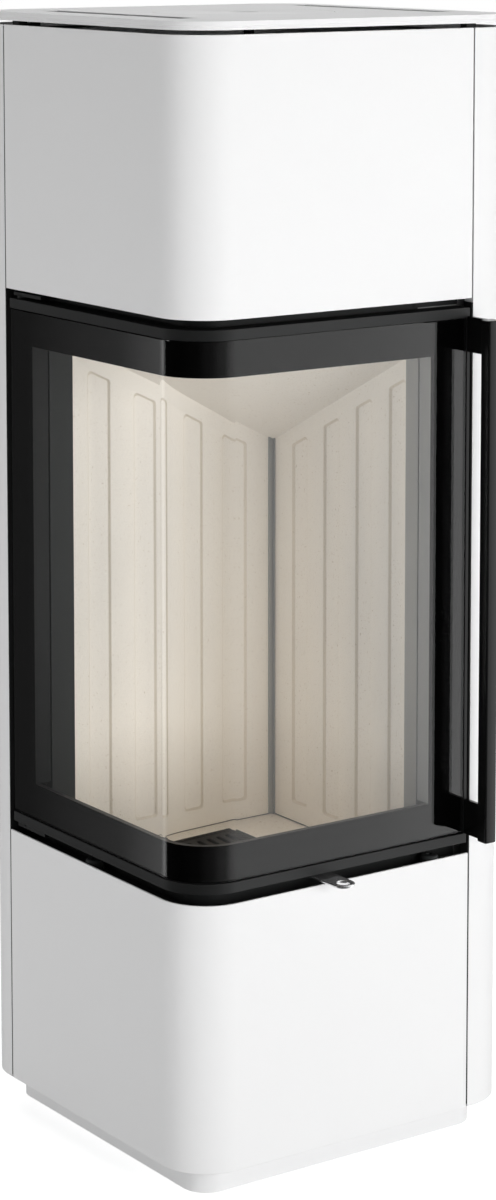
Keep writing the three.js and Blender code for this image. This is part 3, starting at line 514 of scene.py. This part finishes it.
def rearLeftShell():
    low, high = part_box("rear_left_panel")
    radius = casing["cornerRadius"]
    depth = casing["seamReturn"]
    centreX, centreY = leftFace + radius, backFace - radius
    inner = high.x - sheet
    outline = ([(leftFace, low.y), (leftFace + depth, low.y), (leftFace + depth, low.y + sheet),
                (leftFace + sheet, low.y + sheet)]
               + arc(centreX, centreY, radius - sheet, 180, 90)
               + [(inner, backFace - sheet), (inner, backFace - depth), (high.x, backFace - depth),
                  (high.x, backFace)]
               + arc(centreX, centreY, radius, 90, 180))
    piece = cutPlate("rearLeftShell", [outline], low.z, high.z)
    dress(piece, whiteCoat, stands=("rear_left_panel",))


# Stands up a plate drawn in plan: its plan becomes x and z, its thickness runs along y
standing = Matrix.Rotation(math.radians(90), 4, "X")
rear = {
    "flueHole": 0.078,
    "ductHole": 0.0403,
    "screwRadius": 0.0045,
    "screwHeight": 0.0018,
    "screwInset": 0.014,
    "screwFromEnd": 0.03,
    "screwRows": 5,
    "screwSides": 24,
    "screwDome": [(0, 0), (1, 0), (1, 0.5), (0.7, 0.9), (0.35, 1), (0.3, 0.4), (0, 0.4)],
}
spigotLow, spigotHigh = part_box("flue_spigot")
ductLow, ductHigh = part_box("air_duct")
flueHeight = (spigotLow.z + spigotHigh.z) / 2
ductRadius = (ductHigh.x - ductLow.x) / 2
ductHeight = ductLow.z + ductRadius


def backPlate():
    low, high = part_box("back_panel")
    outline = rectangle(low.x, high.x, low.z, high.z)
    holes = [circle(0, flueHeight, rear["flueHole"]), circle(0, ductHeight, rear["ductHole"])]
    piece = cutPlate("backPlate", [outline, *holes], -high.y, -low.y, turn=standing)
    dress(piece, whiteCoat, stands=("back_panel",))
    dome = scaled(rear["screwDome"], rear["screwRadius"], rear["screwHeight"])
    rows, end = rear["screwRows"], rear["screwFromEnd"]
    for row in range(rows):
        z = low.z + end + (high.z - low.z - 2 * end) * row / (rows - 1)
        for side, x in (("Left", low.x + rear["screwInset"]), ("Right", high.x - rear["screwInset"])):
            head = turned(f"backScrew{side}{row + 1}", dome, (x, backFace, z), alongY=True,
                          steps=rear["screwSides"])
            dress(head, rawSteel)


bentPanel("lowerPanel", "lower_panel")
bentPanel("upperPanel", "upper_panel")
rightShell()
rearLeftShell()
backPlate()


def plinth():
    look = {"inset": 0.03, "sheet": 0.003, "footHole": 0.024, "holeSides": 48}
    low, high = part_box("plinth")
    inner = bodyOutline(look["inset"] + look["sheet"])
    wall = cutPlate("plinthWall", [bodyOutline(look["inset"]), inner], low.z, high.z)
    feet = [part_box(f"levelling_foot_{i + 1}") for i in range(4)]
    holes = [circle((first.x + last.x) / 2, (first.y + last.y) / 2, look["footHole"], look["holeSides"])
             for first, last in feet]
    floor = cutPlate("plinthFloor", [inner, *holes], low.z, low.z + look["sheet"])
    dress(joinPieces("plinthPan", [wall, floor]), whiteCoat, stands=("plinth",))


plinth()


# Dark strips in the rubber finish on the flanges behind the two seams, on the right one up to the top of the
# door: painted shade for the shadow deep in the seams
def seamShadeStrip():
    look = {"thickness": 0.0018, "fromFace": 0.0003, "foot": 0.0385, "rightHead": 1.012, "belowTop": 0.002,
            "edge": 0.0001}
    near, far, thickness = look["fromFace"], casing["seamReturn"], look["thickness"]
    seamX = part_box("right_side_panel")[0].x
    seamY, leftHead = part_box("rear_left_panel")[0].y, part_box("rear_left_panel")[1].z - look["belowTop"]
    right = rectangle(seamX - thickness, seamX, frontFace + near, frontFace + far)
    left = rectangle(leftFace + near, leftFace + far, seamY - thickness, seamY)
    for name, outline, head in (("seamShadeStrip", right, look["rightHead"]), ("seamShadeStripLeft", left, leftHead)):
        strip = cutPlate(name, [outline], look["foot"], head, edge=look["edge"])
        dress(strip, rubberFinish)


# Black rubber pushed over the two flanges beside the back panel, with a lip that fills the seam
def edgeTrims():
    look = {"wall": 0.0009, "clear": 0.00005, "fromFace": 0.0005, "foot": 0.0385, "belowTop": 0.002,
            "edge": 0.0001}
    low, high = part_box("back_panel")
    sides = [("edgeTrimLeft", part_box("rear_left_panel")[1].x, low.x, 1),
             ("edgeTrimRight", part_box("right_side_panel")[0].x, high.x, -1)]
    outer, inner = look["wall"] + look["clear"], look["clear"]
    front, plateFace, lipFace = backFace - casing["seamReturn"], backFace - sheet, backFace - look["fromFace"]
    for name, flange, plateEdge, way in sides:
        lip = abs(plateEdge - flange) - look["clear"]
        outline = [(outer, plateFace), (outer, front - outer), (-sheet - outer, front - outer),
                   (-sheet - outer, plateFace - outer), (-sheet - inner, plateFace - outer),
                   (-sheet - inner, front - inner), (inner, front - inner), (inner, lipFace), (lip, lipFace),
                   (lip, plateFace)]
        placed = [(flange + way * across, y) for across, y in outline[::-way]]
        trim = cutPlate(name, [placed], look["foot"], high.z - look["belowTop"], edge=look["edge"])
        dress(trim, rubberFinish)


seamShadeStrip()
edgeTrims()
print("casing made")


# Top

top = {
    "slotWidth": 0.026,
    "slotLength": 0.304,
    "slotFront": 0.094,
    "leftSlot": 0.0495,
    "rightSlotMargin": 0.027,
    "coverGap": 0.0005,
    "coverDepth": 0.006,
    "ledgeWidth": 0.01,
    "dimpleRadius": 0.0175,
    "dimpleDepth": 0.0025,
    "dimpleLip": [(0.0012, 0), (0.0004, 0.0003), (0, 0.0009)],
    "dimpleFlank": 0.002,
    "coverFoot": 0.0003,
    "slotRound": 0.001,
    "slotSteps": 3,
    "edge": 0.0004,
    "roundSides": 128,
}


def topPlate():
    coverLow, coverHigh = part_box("flue_cover")
    radius, height = (coverHigh.x - coverLow.x) / 2, coverHigh.z - coverLow.z
    front = frontFace + top["slotFront"]
    back = front + top["slotLength"]
    rightSlot = rightFace - top["rightSlotMargin"] - top["slotWidth"]
    slots = [roundRectangle(start, start + top["slotWidth"], front, back, top["slotRound"], top["slotSteps"])
             for start in (leftFace + top["leftSlot"], rightSlot)]
    recess = circle(0, 0, radius + top["coverGap"])
    bore = circle(0, 0, radius - top["ledgeWidth"])
    seatHeight, edge = plateHigh.z - top["coverDepth"], top["edge"]
    upper = cutPlate("topUpper", [bodyOutline(0), *slots, recess], seatHeight, plateHigh.z, edge=edge)
    lower = cutPlate("topLower", [bodyOutline(0), *slots, bore], plateLow.z, seatHeight, edge=edge)
    plate = joinPieces("topPlate", [upper, lower])
    dress(plate, whiteCoat, stands=("top_plate",))
    foot, dimple, depth = top["coverFoot"], top["dimpleRadius"], top["dimpleDepth"]
    profile = [(0, 0), (radius - foot, 0), (radius, foot), (radius, height - edge), (radius - edge, height),
               *((dimple + out, height - down) for out, down in top["dimpleLip"]),
               (dimple - top["dimpleFlank"], height - depth), (0, height - depth)]
    cover = turned("flueCover", profile, (0, 0, coverLow.z), steps=top["roundSides"])
    dress(cover, whiteCoat, body="flue_cover", stands=("flue_cover",))


topPlate()
print("top made")


# Door

door = {
    "thickness": 0.026,
    "strip": 0.012,
    "glass": 0.004,
    "recess": 0.0005,
    "printTop": 0.0413,
    "printBottom": 0.042,
    "printHinge": 0.0462,
    "printLock": 0.05,
    "printSheet": 0.0002,
    "printGap": 0.00004,
    "lipGap": 0.0003,
    "lipDepth": 0.007,
    "lipEdge": 0.0003,
    "railStep": 0.014,
    "railOverlap": 0.0005,
    "softEdge": 0.0008,
    "pinHole": 0.0053,
    "pinSides": 32,
    "relief": 0.006,
}
topRailHigh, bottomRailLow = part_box("door_top_rail")[1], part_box("door_bottom_rail")[0]
glassLow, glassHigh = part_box("door_glass")
doorEndY, doorEndX = topRailHigh.y, topRailHigh.x
hingePlace = next(joint for joint in frame["joints"] if joint["name"] == "door_swing")["pos_m"]
windowLow = glassLow.z + door["printBottom"]
windowHigh = glassHigh.z - door["printTop"]
glassBack = door["recess"] + door["glass"]


# A full rail strip, thinner behind the hinge pin, with the pin's hole
def railStrip(name, low, high):
    thick, slim = door["thickness"], door["thickness"] - door["relief"]
    outline = bentBand(0, thick, doorEndY, doorEndX)
    pinX, pinY = hingePlace[:2]
    outline[-1:] = [(leftFace + thick, pinY), (leftFace + slim, pinY), (leftFace + slim, doorEndY)]
    hole = circle(pinX, pinY, door["pinHole"], door["pinSides"])
    return cutPlate(name, [outline, hole], low, high)


def doorRail(name, node, stripLow, stripHigh, lipLow, lipHigh, backLow, backHigh):
    near = glassBack + door["lipGap"]
    lipEnd = near + door["lipDepth"]
    front = bentBand(near, lipEnd, glassHigh.y, glassHigh.x)
    lip = cutPlate(name + "Lip", [front], lipLow, lipHigh, edge=door["lipEdge"])
    slim = bentBand(lipEnd - door["railOverlap"], door["thickness"], hingePlace[1], glassHigh.x)
    back = cutPlate(name + "Back", [slim], backLow, backHigh, edge=door["softEdge"])
    pieces = [railStrip(name + "Strip", stripLow, stripHigh), lip, back]
    dress(joinPieces(name, pieces), blackCoat, body="door", stands=(node,))


stripTop = topRailHigh.z - door["strip"]
stripBottom = bottomRailLow.z + door["strip"]
doorRail("doorTopRail", "door_top_rail", stripTop, topRailHigh.z, windowHigh, stripTop,
         windowHigh + door["railStep"], stripTop)
doorRail("doorBottomRail", "door_bottom_rail", bottomRailLow.z, stripBottom, stripBottom, windowLow,
         stripBottom, windowLow - door["railStep"])

glassPane = cutPlate("bentGlass", [bentBand(door["recess"], glassBack, glassHigh.y, glassHigh.x)],
                     glassLow.z, glassHigh.z, edge=door["softEdge"])
dress(glassPane, glassFinish, body="door", stands=("door_glass",))


# The black border behind the glass: four strips round the window
def blackBorder():
    near = glassBack + door["printGap"]
    far = near + door["printSheet"]
    windowEndY = glassHigh.y - door["printHinge"]
    windowEndX = glassHigh.x - door["printLock"]
    band = bentBand(near, far, glassHigh.y, glassHigh.x)
    strips = [("borderBottom", band, glassLow.z, windowLow),
              ("borderTop", band, windowHigh, glassHigh.z),
              ("borderHinge", rectangle(leftFace + near, leftFace + far, windowEndY, glassHigh.y),
               windowLow, windowHigh),
              ("borderLock", rectangle(windowEndX, glassHigh.x, frontFace + near, frontFace + far),
               windowLow, windowHigh)]
    pieces = [cutPlate(name, [outline], low, high, edge=0) for name, outline, low, high in strips]
    dress(joinPieces("glassBorder", pieces), printFinish, body="door")


blackBorder()


def handle():
    look = {"round": 0.0022, "roundSteps": 5, "endEdge": 0.0006}
    low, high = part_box("handle_bar")
    outline = roundRectangle(low.x, high.x, low.y, high.y, look["round"], look["roundSteps"])
    bar = cutPlate("handleBar", [outline], low.z, high.z, edge=look["endEdge"])
    dress(bar, handleCoat, body="door", stands=("handle_bar",))
    for name, node in (("handleArmTop", "handle_arm_top"), ("handleArmBottom", "handle_arm_bottom")):
        armLow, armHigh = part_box(node)
        arm = cutPlate(name, [rectangle(armLow.x, armHigh.x, armLow.y, armHigh.y)], armLow.z, armHigh.z)
        dress(arm, handleCoat, body="door", stands=(node,))


handle()


# Black edge strip on the lock stile, round the corner that shows beside the end of the glass
def stileTrim():
    look = {"wall": 0.0003, "gap": 0.0003, "clear": 0.00004, "wrap": 0.006, "pastGlass": 0.0015}
    low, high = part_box("door_lock_stile")
    edgeX = glassHigh.x + look["pastGlass"]
    front = frontFace - look["gap"] + look["clear"]
    back = frontFace - look["clear"]
    inner, outer, end = edgeX - look["clear"], edgeX - look["wall"], frontFace + look["wrap"]
    outline = [(outer, front), (high.x, front), (high.x, back), (inner, back), (inner, end), (outer, end)]
    trim = cutPlate("stileTrim", [outline], low.z, high.z, edge=0)
    dress(trim, blackCoat, body="door")


stileTrim()
print("door made")


# Gap under the door

def lever():
    look = {"width": 0.027, "eye": 0.0075, "eyeSides": 48, "edge": 0.0017, "rounds": 3, "fromLeft": 0.19,
            "plateDepth": 0.043}
    low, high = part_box("air_lever")
    half = look["width"] / 2
    centreX = leftFace + look["fromLeft"]
    centreY = low.y + half
    wideFront = high.y - look["plateDepth"]
    outline = (arc(centreX, centreY, half, 180, 360)
               + [(centreX + half, wideFront), (high.x, wideFront), (high.x, high.y), (low.x, high.y),
                  (low.x, wideFront), (centreX - half, wideFront)])
    eye = circle(centreX, centreY, look["eye"], look["eyeSides"])
    piece = cutPlate("airLever", [outline, eye], low.z, high.z, edge=look["edge"], rounds=look["rounds"])
    dress(piece, polishedSteel, body="air_lever", stands=("air_lever",))


# Domed screws with a round socket, all measures in shares of their radius and height
def doorRests():
    look = {"foot": [(0, 0), (0.98, 0), (1, 0.04), (1, 0.66)], "flat": 0.72, "shoulder": 0.66, "steps": 8,
            "socket": [(0.3, 1), (0.26, 0.86), (0, 0.86)], "sides": 48}
    flat, shoulder = look["flat"], look["shoulder"]
    turns = [math.radians(90 * i / look["steps"]) for i in range(1, look["steps"] + 1)]
    bend = [(flat + (1 - flat) * math.cos(t), shoulder + (1 - shoulder) * math.sin(t)) for t in turns]
    for name, node in (("doorRestLeft", "door_rest_left"), ("doorRestFront", "door_rest_front")):
        low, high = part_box(node)
        dome = scaled(look["foot"] + bend + look["socket"], (high.x - low.x) / 2, high.z - low.z)
        centre = ((low.x + high.x) / 2, (low.y + high.y) / 2, low.z)
        dress(turned(name, dome, centre, steps=look["sides"]), darkSteelAndJambShade, stands=(node,))


# Black plates over the ends of the right jamb, which show above and below the door
def jambCovers():
    look = {"thickness": 0.0003, "start": 0.0985, "fromDoor": 0.001, "fromSteel": 0.0005}
    upperLow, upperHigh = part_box("upper_ledge")
    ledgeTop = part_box("lower_ledge")[1].z
    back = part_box("right_jamb")[0].y - look["fromSteel"]
    outline = [rectangle(look["start"], upperHigh.x, back - look["thickness"], back)]
    for name, foot, head in (
            ("jambCoverTop", topRailHigh.z + look["fromDoor"], upperLow.z - look["fromSteel"]),
            ("jambCoverBottom", ledgeTop + look["fromSteel"], bottomRailLow.z - look["fromDoor"])):
        dress(cutPlate(name, outline, foot, head, edge=0), blackCoat)


lever()
doorRests()
jambCovers()
print("gap pieces made")


# Fire chamber

grooves = {
    "count": 4,
    "pitch": 0.0668,
    "width": 0.033,
    "fromCorner": 0.041,
    "aboveFloor": 0.024,
    "belowTop": 0.024,
    "depth": 0.003,
    "flank": 0.0026,
    "flankSteps": 6,
    "round": 0.0045,
    "boardEdge": 0.0012,
    "belowStrip": 0.0007,
    "shadeAngle": 40,
}
backBoardLow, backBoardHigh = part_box("back_lining")
rightBoardLow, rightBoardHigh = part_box("right_lining")
chamberX, chamberY = rightBoardLow.x, backBoardLow.y
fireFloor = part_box("grate")[1].z
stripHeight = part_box("corner_strip")[1].z


# A loop with rounded corners, set in by a distance: upright edges at u0 and u1, top from top0 to top1
def slantedLoop(u0, u1, low, top0, top1, inset, radius, steps=5):
    slope = (top1 - top0) / (u1 - u0)
    drop = inset * math.hypot(1, slope)
    corners = [Vector((u0 + inset, low + inset)), Vector((u1 - inset, low + inset)),
               Vector((u1 - inset, top1 - slope * inset - drop)),
               Vector((u0 + inset, top0 + slope * inset - drop))]
    points = []
    for i, corner in enumerate(corners):
        before = (corners[i - 1] - corner).normalized()
        after = (corners[(i + 1) % 4] - corner).normalized()
        half = before.angle(after) / 2
        reach = radius / math.tan(half)
        start, end = corner + before * reach, corner + after * reach
        centre = corner + (before + after).normalized() * (radius / math.sin(half))
        for step in range(steps + 1):
            t = step / steps
            direction = ((start - centre) * (1 - t) + (end - centre) * t).normalized()
            points.append(tuple(centre + direction * radius))
    return points


# A board whose face carries grooves: u runs along it, v up, and depth goes into the wall. The groove flanks
# take the second, browner finish: painted shade in the grooves
def groovedBoard(name, length, low, topNear, topFar, thickness, toWorld):
    slope = (topFar - topNear) / length
    edge = grooves["boardEdge"]
    shape = bmesh.new()

    def ring(points, depth):
        return [shape.verts.new(toWorld(u, v, depth)) for u, v in points]

    def edgesOf(loop):
        pairs = zip(loop, loop[1:] + loop[:1])
        return [shape.edges.get(pair) or shape.edges.new(pair) for pair in pairs]

    face = ring([(edge, low + edge), (length - edge, low + edge), (length - edge, topFar - edge),
                 (edge, topNear - edge)], 0)
    corners = [(0, low), (length, low), (length, topFar), (0, topNear)]
    outer, rim = ring(corners, edge), ring(corners, thickness)
    bridge(shape, face, outer)
    bridge(shape, outer, rim)
    shape.faces.new(rim)
    openEdges = edgesOf(face)
    for index in range(grooves["count"]):
        near = grooves["fromCorner"] + index * grooves["pitch"]
        far = near + grooves["width"]
        bottom = fireFloor + grooves["aboveFloor"]
        tops = [topNear + slope * u - grooves["belowTop"] for u in (near, far)]
        rings = []
        for level in range(grooves["flankSteps"] + 1):
            t = level / grooves["flankSteps"]
            loop = slantedLoop(near, far, bottom, tops[0], tops[1], grooves["flank"] * t, grooves["round"])
            rings.append(ring(loop, grooves["depth"] * (0.5 - 0.5 * math.cos(math.pi * t))))
        # Flank faces take finish 1, the browner copy: painted shade
        for first, second in zip(rings, rings[1:]):
            bridge(shape, first, second, 1)
        shape.faces.new(rings[-1])
        openEdges += edgesOf(rings[0])
    bmesh.ops.triangle_fill(shape, use_beauty=True, use_dissolve=False, edges=openEdges)
    bmesh.ops.recalc_face_normals(shape, faces=shape.faces)
    return builtPiece(name, shape, angle=grooves["shadeAngle"])


def linings():
    boards = [
        ("backLining", "back_lining", backBoardHigh.x - backBoardLow.x, backBoardHigh.y - backBoardLow.y,
         lambda u, v, depth: (backBoardHigh.x - u, chamberY + depth, v)),
        ("rightLining", "right_lining", chamberY - rightBoardLow.y, rightBoardHigh.x - rightBoardLow.x,
         lambda u, v, depth: (chamberX + depth, chamberY - u, v)),
    ]
    for name, node, length, thickness, toWorld in boards:
        low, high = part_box(node)
        near = stripHeight - grooves["belowStrip"]
        board = groovedBoard(name, length, low.z, near, high.z, thickness, toWorld)
        dress(board, creamBoard, stands=(node,), second=grooveShade)


# The ceiling board, sheared so that it rises to the front and to the left
def baffle():
    low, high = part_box("baffle_plate")
    look = {"thickness": 0.025, "cut": 0.19, "rise": 0.5004, "edge": 0.001}
    cut = look["cut"]
    outline = [(low.x + cut, low.y), (high.x, low.y), (high.x, high.y), (low.x, high.y), (low.x, low.y + cut)]
    piece = cutPlate("bafflePlate", [outline], 0, look["thickness"], edge=look["edge"])
    for vertex in piece.data.vertices:
        x, y, z = vertex.co
        vertex.co.z = z + low.z + look["rise"] * (high.x - x + high.y - y)
    dress(piece, creamBoard, stands=("baffle_plate",))


def floorPieces():
    look = {"edge": 0.0012}
    stones = [("floorStoneRight", "floor_stone_right"), ("floorStoneRearRight", "floor_stone_rear_right"),
              ("floorStoneRearLeft", "floor_stone_rear_left")]
    for name, node in stones:
        low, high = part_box(node)
        stone = cutPlate(name, [rectangle(low.x, high.x, low.y, high.y)], low.z, high.z, edge=look["edge"])
        dress(stone, creamBoard, stands=(node,))


def grate():
    look = {"slots": 6, "rows": 2, "pitch": 0.0165, "width": 0.006, "length": 0.048, "bridge": 0.011,
            "rearMargin": 0.013, "slotRound": 0.98, "corner": 0.003, "cornerSteps": 4, "edge": 0.0008}
    low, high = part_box("grate")
    first = (low.x + high.x - (look["slots"] - 1) * look["pitch"]) / 2
    half = look["width"] / 2
    holes = []
    for column in range(look["slots"]):
        x = first + column * look["pitch"]
        for row in range(look["rows"]):
            back = high.y - look["rearMargin"] - row * (look["length"] + look["bridge"])
            front = back - look["length"]
            holes.append(roundRectangle(x - half, x + half, front, back, half * look["slotRound"]))
    outline = roundRectangle(low.x, high.x, low.y, high.y, look["corner"], look["cornerSteps"])
    piece = cutPlate("fireGrate", [outline, *holes], low.z, high.z, edge=look["edge"])
    dress(piece, castIron, body="grate", stands=("grate",))


# Near-black strips along the joint between the floor stones and the two linings: painted shade in the crease
def footJoints():
    look = {"width": 0.0016, "height": 0.0003, "clear": 0.00002}
    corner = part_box("corner_strip")[0]
    startX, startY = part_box("floor_stone_rear_left")[0].x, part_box("floor_stone_right")[0].y
    low = fireFloor + look["clear"]
    runs = [("footJointBack", rectangle(startX, corner.x, chamberY - look["width"], chamberY)),
            ("footJointRight", rectangle(chamberX - look["width"], chamberX, startY, corner.y))]
    for name, outline in runs:
        dress(cutPlate(name, [outline], low, low + look["height"], edge=0), castIron)


linings()
baffle()
floorPieces()
footJoints()
grate()
print("fire chamber made")


# Rear connections

def spigot():
    look = {"wall": 0.002, "beadHeight": 0.0008, "beadFromEnd": 0.012,
            "beadSteps": (-0.005, -0.003, 0.001, 0.003), "ease": 0.0003, "sides": 128}
    radius = (spigotHigh.x - spigotLow.x) / 2
    length, ease = spigotHigh.y - spigotLow.y, look["ease"]
    bore, tube = radius - look["wall"], radius - look["beadHeight"]
    start, rise, fall, end = (length - look["beadFromEnd"] + step for step in look["beadSteps"])
    profile = [(bore, 0), (tube, 0), (tube, start), (radius, rise), (radius, fall), (tube, end),
               (tube, length - ease), (tube - ease, length), (bore + ease, length), (bore, length - ease)]
    piece = turned("flueSpigot", profile, (0, spigotLow.y, flueHeight), alongY=True, steps=look["sides"],
                   closed=True)
    dress(piece, blackCoat, stands=("flue_spigot",))


# The fresh air duct, straight in from the back and bent up
def duct():
    look = {"wall": 0.0015, "bend": 0.055, "bendSteps": 16, "sides": 64}
    centreY = ductLow.y + ductRadius
    bendY, bendZ = centreY + look["bend"], ductHeight + look["bend"]
    route = [((0, ductHigh.y, ductHeight), 0)]
    for i in range(look["bendSteps"] + 1):
        angle = math.radians(90 * i / look["bendSteps"])
        place = (0, bendY - look["bend"] * math.sin(angle), bendZ - look["bend"] * math.cos(angle))
        route.append((place, angle))
    route.append(((0, centreY, ductHigh.z), math.radians(90)))
    shape = bmesh.new()
    rings = []
    for radius in (ductRadius, ductRadius - look["wall"]):
        for place, angle in route:
            upward = Vector((0, math.sin(angle), math.cos(angle)))
            rings.append([shape.verts.new(Vector(place) + Vector((x, 0, 0)) + upward * y)
                          for x, y in circle(0, 0, radius, look["sides"])])
    count = len(route)
    order = list(range(count)) + list(range(2 * count - 1, count - 1, -1))
    for first, second in zip(order, order[1:] + order[:1]):
        bridge(shape, rings[first], rings[second])
    bmesh.ops.recalc_face_normals(shape, faces=shape.faces)
    dress(builtPiece("airDuct", shape), rawSteel, stands=("air_duct",))


spigot()
duct()
print("rear connections made")


# Finishes of the solids that stay as they are

stays = [
    (blackCoat, ["lower_ledge", "upper_ledge", "top_frame", "sill", "lintel", "front_ledge",
                 "hinge_bracket_bottom", "hinge_bracket_top", "door_hinge_stile"]),
    (greySteel, ["right_jamb", "corner_strip", "ash_pan", "door_lock_stile"]),
    # The left jamb is the same steel as the right one; its darker finish is painted shade
    (darkSteelAndJambShade, ["left_jamb"]),
    (rawSteel, ["base_plate", "stand", "firebox_floor", "firebox_back", "firebox_right", "firebox_top",
                "ash_box", "air_box", "smoke_box", "levelling_foot_1", "levelling_foot_2",
                "levelling_foot_3", "levelling_foot_4"]),
    (castIron, ["fire_bed"]),
    (rubberFinish, ["top_spacer_1", "top_spacer_2", "top_spacer_3", "top_spacer_4"]),
    (ropeSeal, ["door_seal"]),
]
for material, names in stays:
    for name in names:
        slots = nodes[name].data.materials
        if len(slots):
            slots[0] = material
        else:
            slots.append(material)
print("carried-over pieces finished")


# Camera, light, floor

view = {
    "place": (-2.1510, -3.0999, 1.4800),
    "yaw": 54.967,
    "pitch": 6.342,
    "lens": 94.87,
    "shiftX": -0.0091,
    "shiftY": -0.29,
    "sensor": 36,
    "clipEnd": 60,
}


def camera():
    data = bpy.data.cameras.new("studioCamera")
    data.sensor_width = view["sensor"]
    data.lens = view["lens"]
    data.shift_x = view["shiftX"]
    data.shift_y = view["shiftY"]
    data.clip_end = view["clipEnd"]
    piece = bpy.data.objects.new("studioCamera", data)
    scene.collection.objects.link(piece)
    yaw, pitch = math.radians(view["yaw"]), math.radians(view["pitch"])
    aim = Vector((math.cos(yaw) * math.cos(pitch), math.sin(yaw) * math.cos(pitch), -math.sin(pitch)))
    piece.location = view["place"]
    piece.rotation_mode = "QUATERNION"
    piece.rotation_quaternion = aim.to_track_quat("-Z", "Y")
    scene.camera = piece


warm = (1.0, 0.9, 0.74)
lamps = [
    {"name": "keyBox", "place": (0.5, -3.9, 0.92), "aim": (0, 0, 0.6), "size": (2.2, 1.8), "power": 113},
    {"name": "sideBox", "place": (-3.2, 0.5, 0.62), "aim": (0, 0, 0.55), "size": (5.0, 1.1), "power": 47},
    {"name": "backBox", "place": (2.6, 3.6, 1.6), "aim": (0, 0, 0.7), "size": (2.0, 2.0), "power": 110},
    {"name": "topBox", "place": (0.0, 0.0, 2.3), "aim": (0, 0, 1.3), "size": (0.7, 0.7), "power": 4.6},
    # Two weak warm fills for what the pale boards of the chamber throw back and forth
    {"name": "lowFill", "place": (-0.13, -0.12, 0.38), "aim": (0.06, 0.145, 0.36), "size": (0.2, 0.05),
     "power": 0.115, "color": warm, "spread": 120},
    {"name": "cornerFill", "place": (-0.13, -0.13, 0.62), "aim": (0.145, 0.145, 0.6), "size": (0.04, 0.3),
     "power": 0.011, "color": warm, "spread": 50},
]


def softbox(look):
    data = bpy.data.lights.new(look["name"], "AREA")
    data.shape = "RECTANGLE"
    data.size, data.size_y = look["size"]
    data.energy = look["power"]
    if "spread" in look:
        data.color = look["color"]
        data.spread = math.radians(look["spread"])
    lamp = bpy.data.objects.new(look["name"], data)
    scene.collection.objects.link(lamp)
    lamp.location = look["place"]
    lamp.rotation_mode = "QUATERNION"
    lamp.rotation_quaternion = (Vector(look["aim"]) - Vector(look["place"])).to_track_quat("-Z", "Y")
    lamp.visible_camera = False
    lamp.visible_glossy = False
    lamp.visible_transmission = False


def background(tree, strength, color):
    return newNode(tree, "Background", {"Color": color, "Strength": strength}).outputs[0]


# White to the lens, a soft even level on the object, and for reflections bright card to the right of
# the front, dim card to the left of the back and dark between
def studioWorld():
    look = {
        "level": 0.13,
        "white": (1, 1, 1, 1),
        "bands": [(-180, 0.005), (-145, 0.015), (-115, 0.06), (-85, 0.2), (-62, 0.62), (-55, 0.82),
                  (-50, 1.2), (-40, 1.5), (60, 0.8), (112, 0.02), (120.5, 0.05), (124, 0.17), (127, 1.0),
                  (136, 1.0), (139, 0.01), (180, 0.005)],
    }
    world = bpy.data.worlds.new("studioWorld")
    scene.world = world
    world.use_nodes = True
    tree = world.node_tree
    tree.nodes.clear()
    way = newNode(tree, "SeparateXYZ", {0: newNode(tree, "TexCoord", {}).outputs["Generated"]}).outputs
    turn = math2(tree, "ARCTAN2", way["Y"], way["X"])
    share = math2(tree, "ADD", math2(tree, "DIVIDE", turn, 2 * math.pi), 0.5)
    ramp = newNode(tree, "ValToRGB", {"Fac": share})
    ramp.color_ramp.interpolation = "EASE"
    brightest = max(value for _, value in look["bands"])
    stops = ramp.color_ramp.elements
    while len(stops) < len(look["bands"]):
        stops.new(0.5)
    for stop, (degrees, value) in zip(stops, look["bands"]):
        stop.position = degrees / 360 + 0.5
        stop.color = (value / brightest,) * 3 + (1,)
    rays = newNode(tree, "LightPath", {}).outputs
    mirrored = math2(tree, "GREATER_THAN", rays["Glossy Depth"], 0.5)
    reflected = math2(tree, "MULTIPLY", mirrored, math2(tree, "SUBTRACT", 1.0, rays["Is Diffuse Ray"]))
    direct = eitherRay(tree, "Is Camera Ray", "Is Transmission Ray")
    soft, white = background(tree, look["level"], look["white"]), background(tree, 1.0, look["white"])
    cards = background(tree, brightest, ramp.outputs["Color"])
    seen = mixShader(tree, reflected, mixShader(tree, direct, soft, white), cards)
    feed(tree, seen, newNode(tree, "OutputWorld", {}).inputs["Surface"])


# Pale floor that adds a little white of its own to the lens, so that it meets the white backdrop
def studioFloor():
    look = {"size": 14.0, "color": (0.9, 0.9, 0.9, 1), "glow": 0.72}
    half = look["size"] / 2
    mesh = bpy.data.meshes.new("studioFloor")
    mesh.from_pydata([(x, y, 0) for x, y in rectangle(-half, half, -half, half)], [], [(0, 1, 2, 3)])
    floor = addMesh("studioFloor", mesh)
    material, tree, shader = newMaterial("paleFloor", {"Base Color": look["color"], "Roughness": 1.0,
                                                       "Specular IOR Level": 0.0})
    seen = eitherRay(tree, "Is Camera Ray", "Is Transmission Ray")
    glow = newNode(tree, "Emission", {"Strength": math2(tree, "MULTIPLY", seen, look["glow"])})
    both = newNode(tree, "AddShader", {0: shader.outputs["BSDF"], 1: glow.outputs[0]})
    feed(tree, both.outputs[0], tree.nodes["Material Output"].inputs["Surface"])
    mesh.materials.append(material)
    floor.visible_glossy = False
    floor.visible_transmission = False


camera()
studioWorld()
studioFloor()
for look in lamps:
    softbox(look)
scene.view_settings.view_transform = "Standard"
scene.cycles.use_denoising = True
print("studio made")
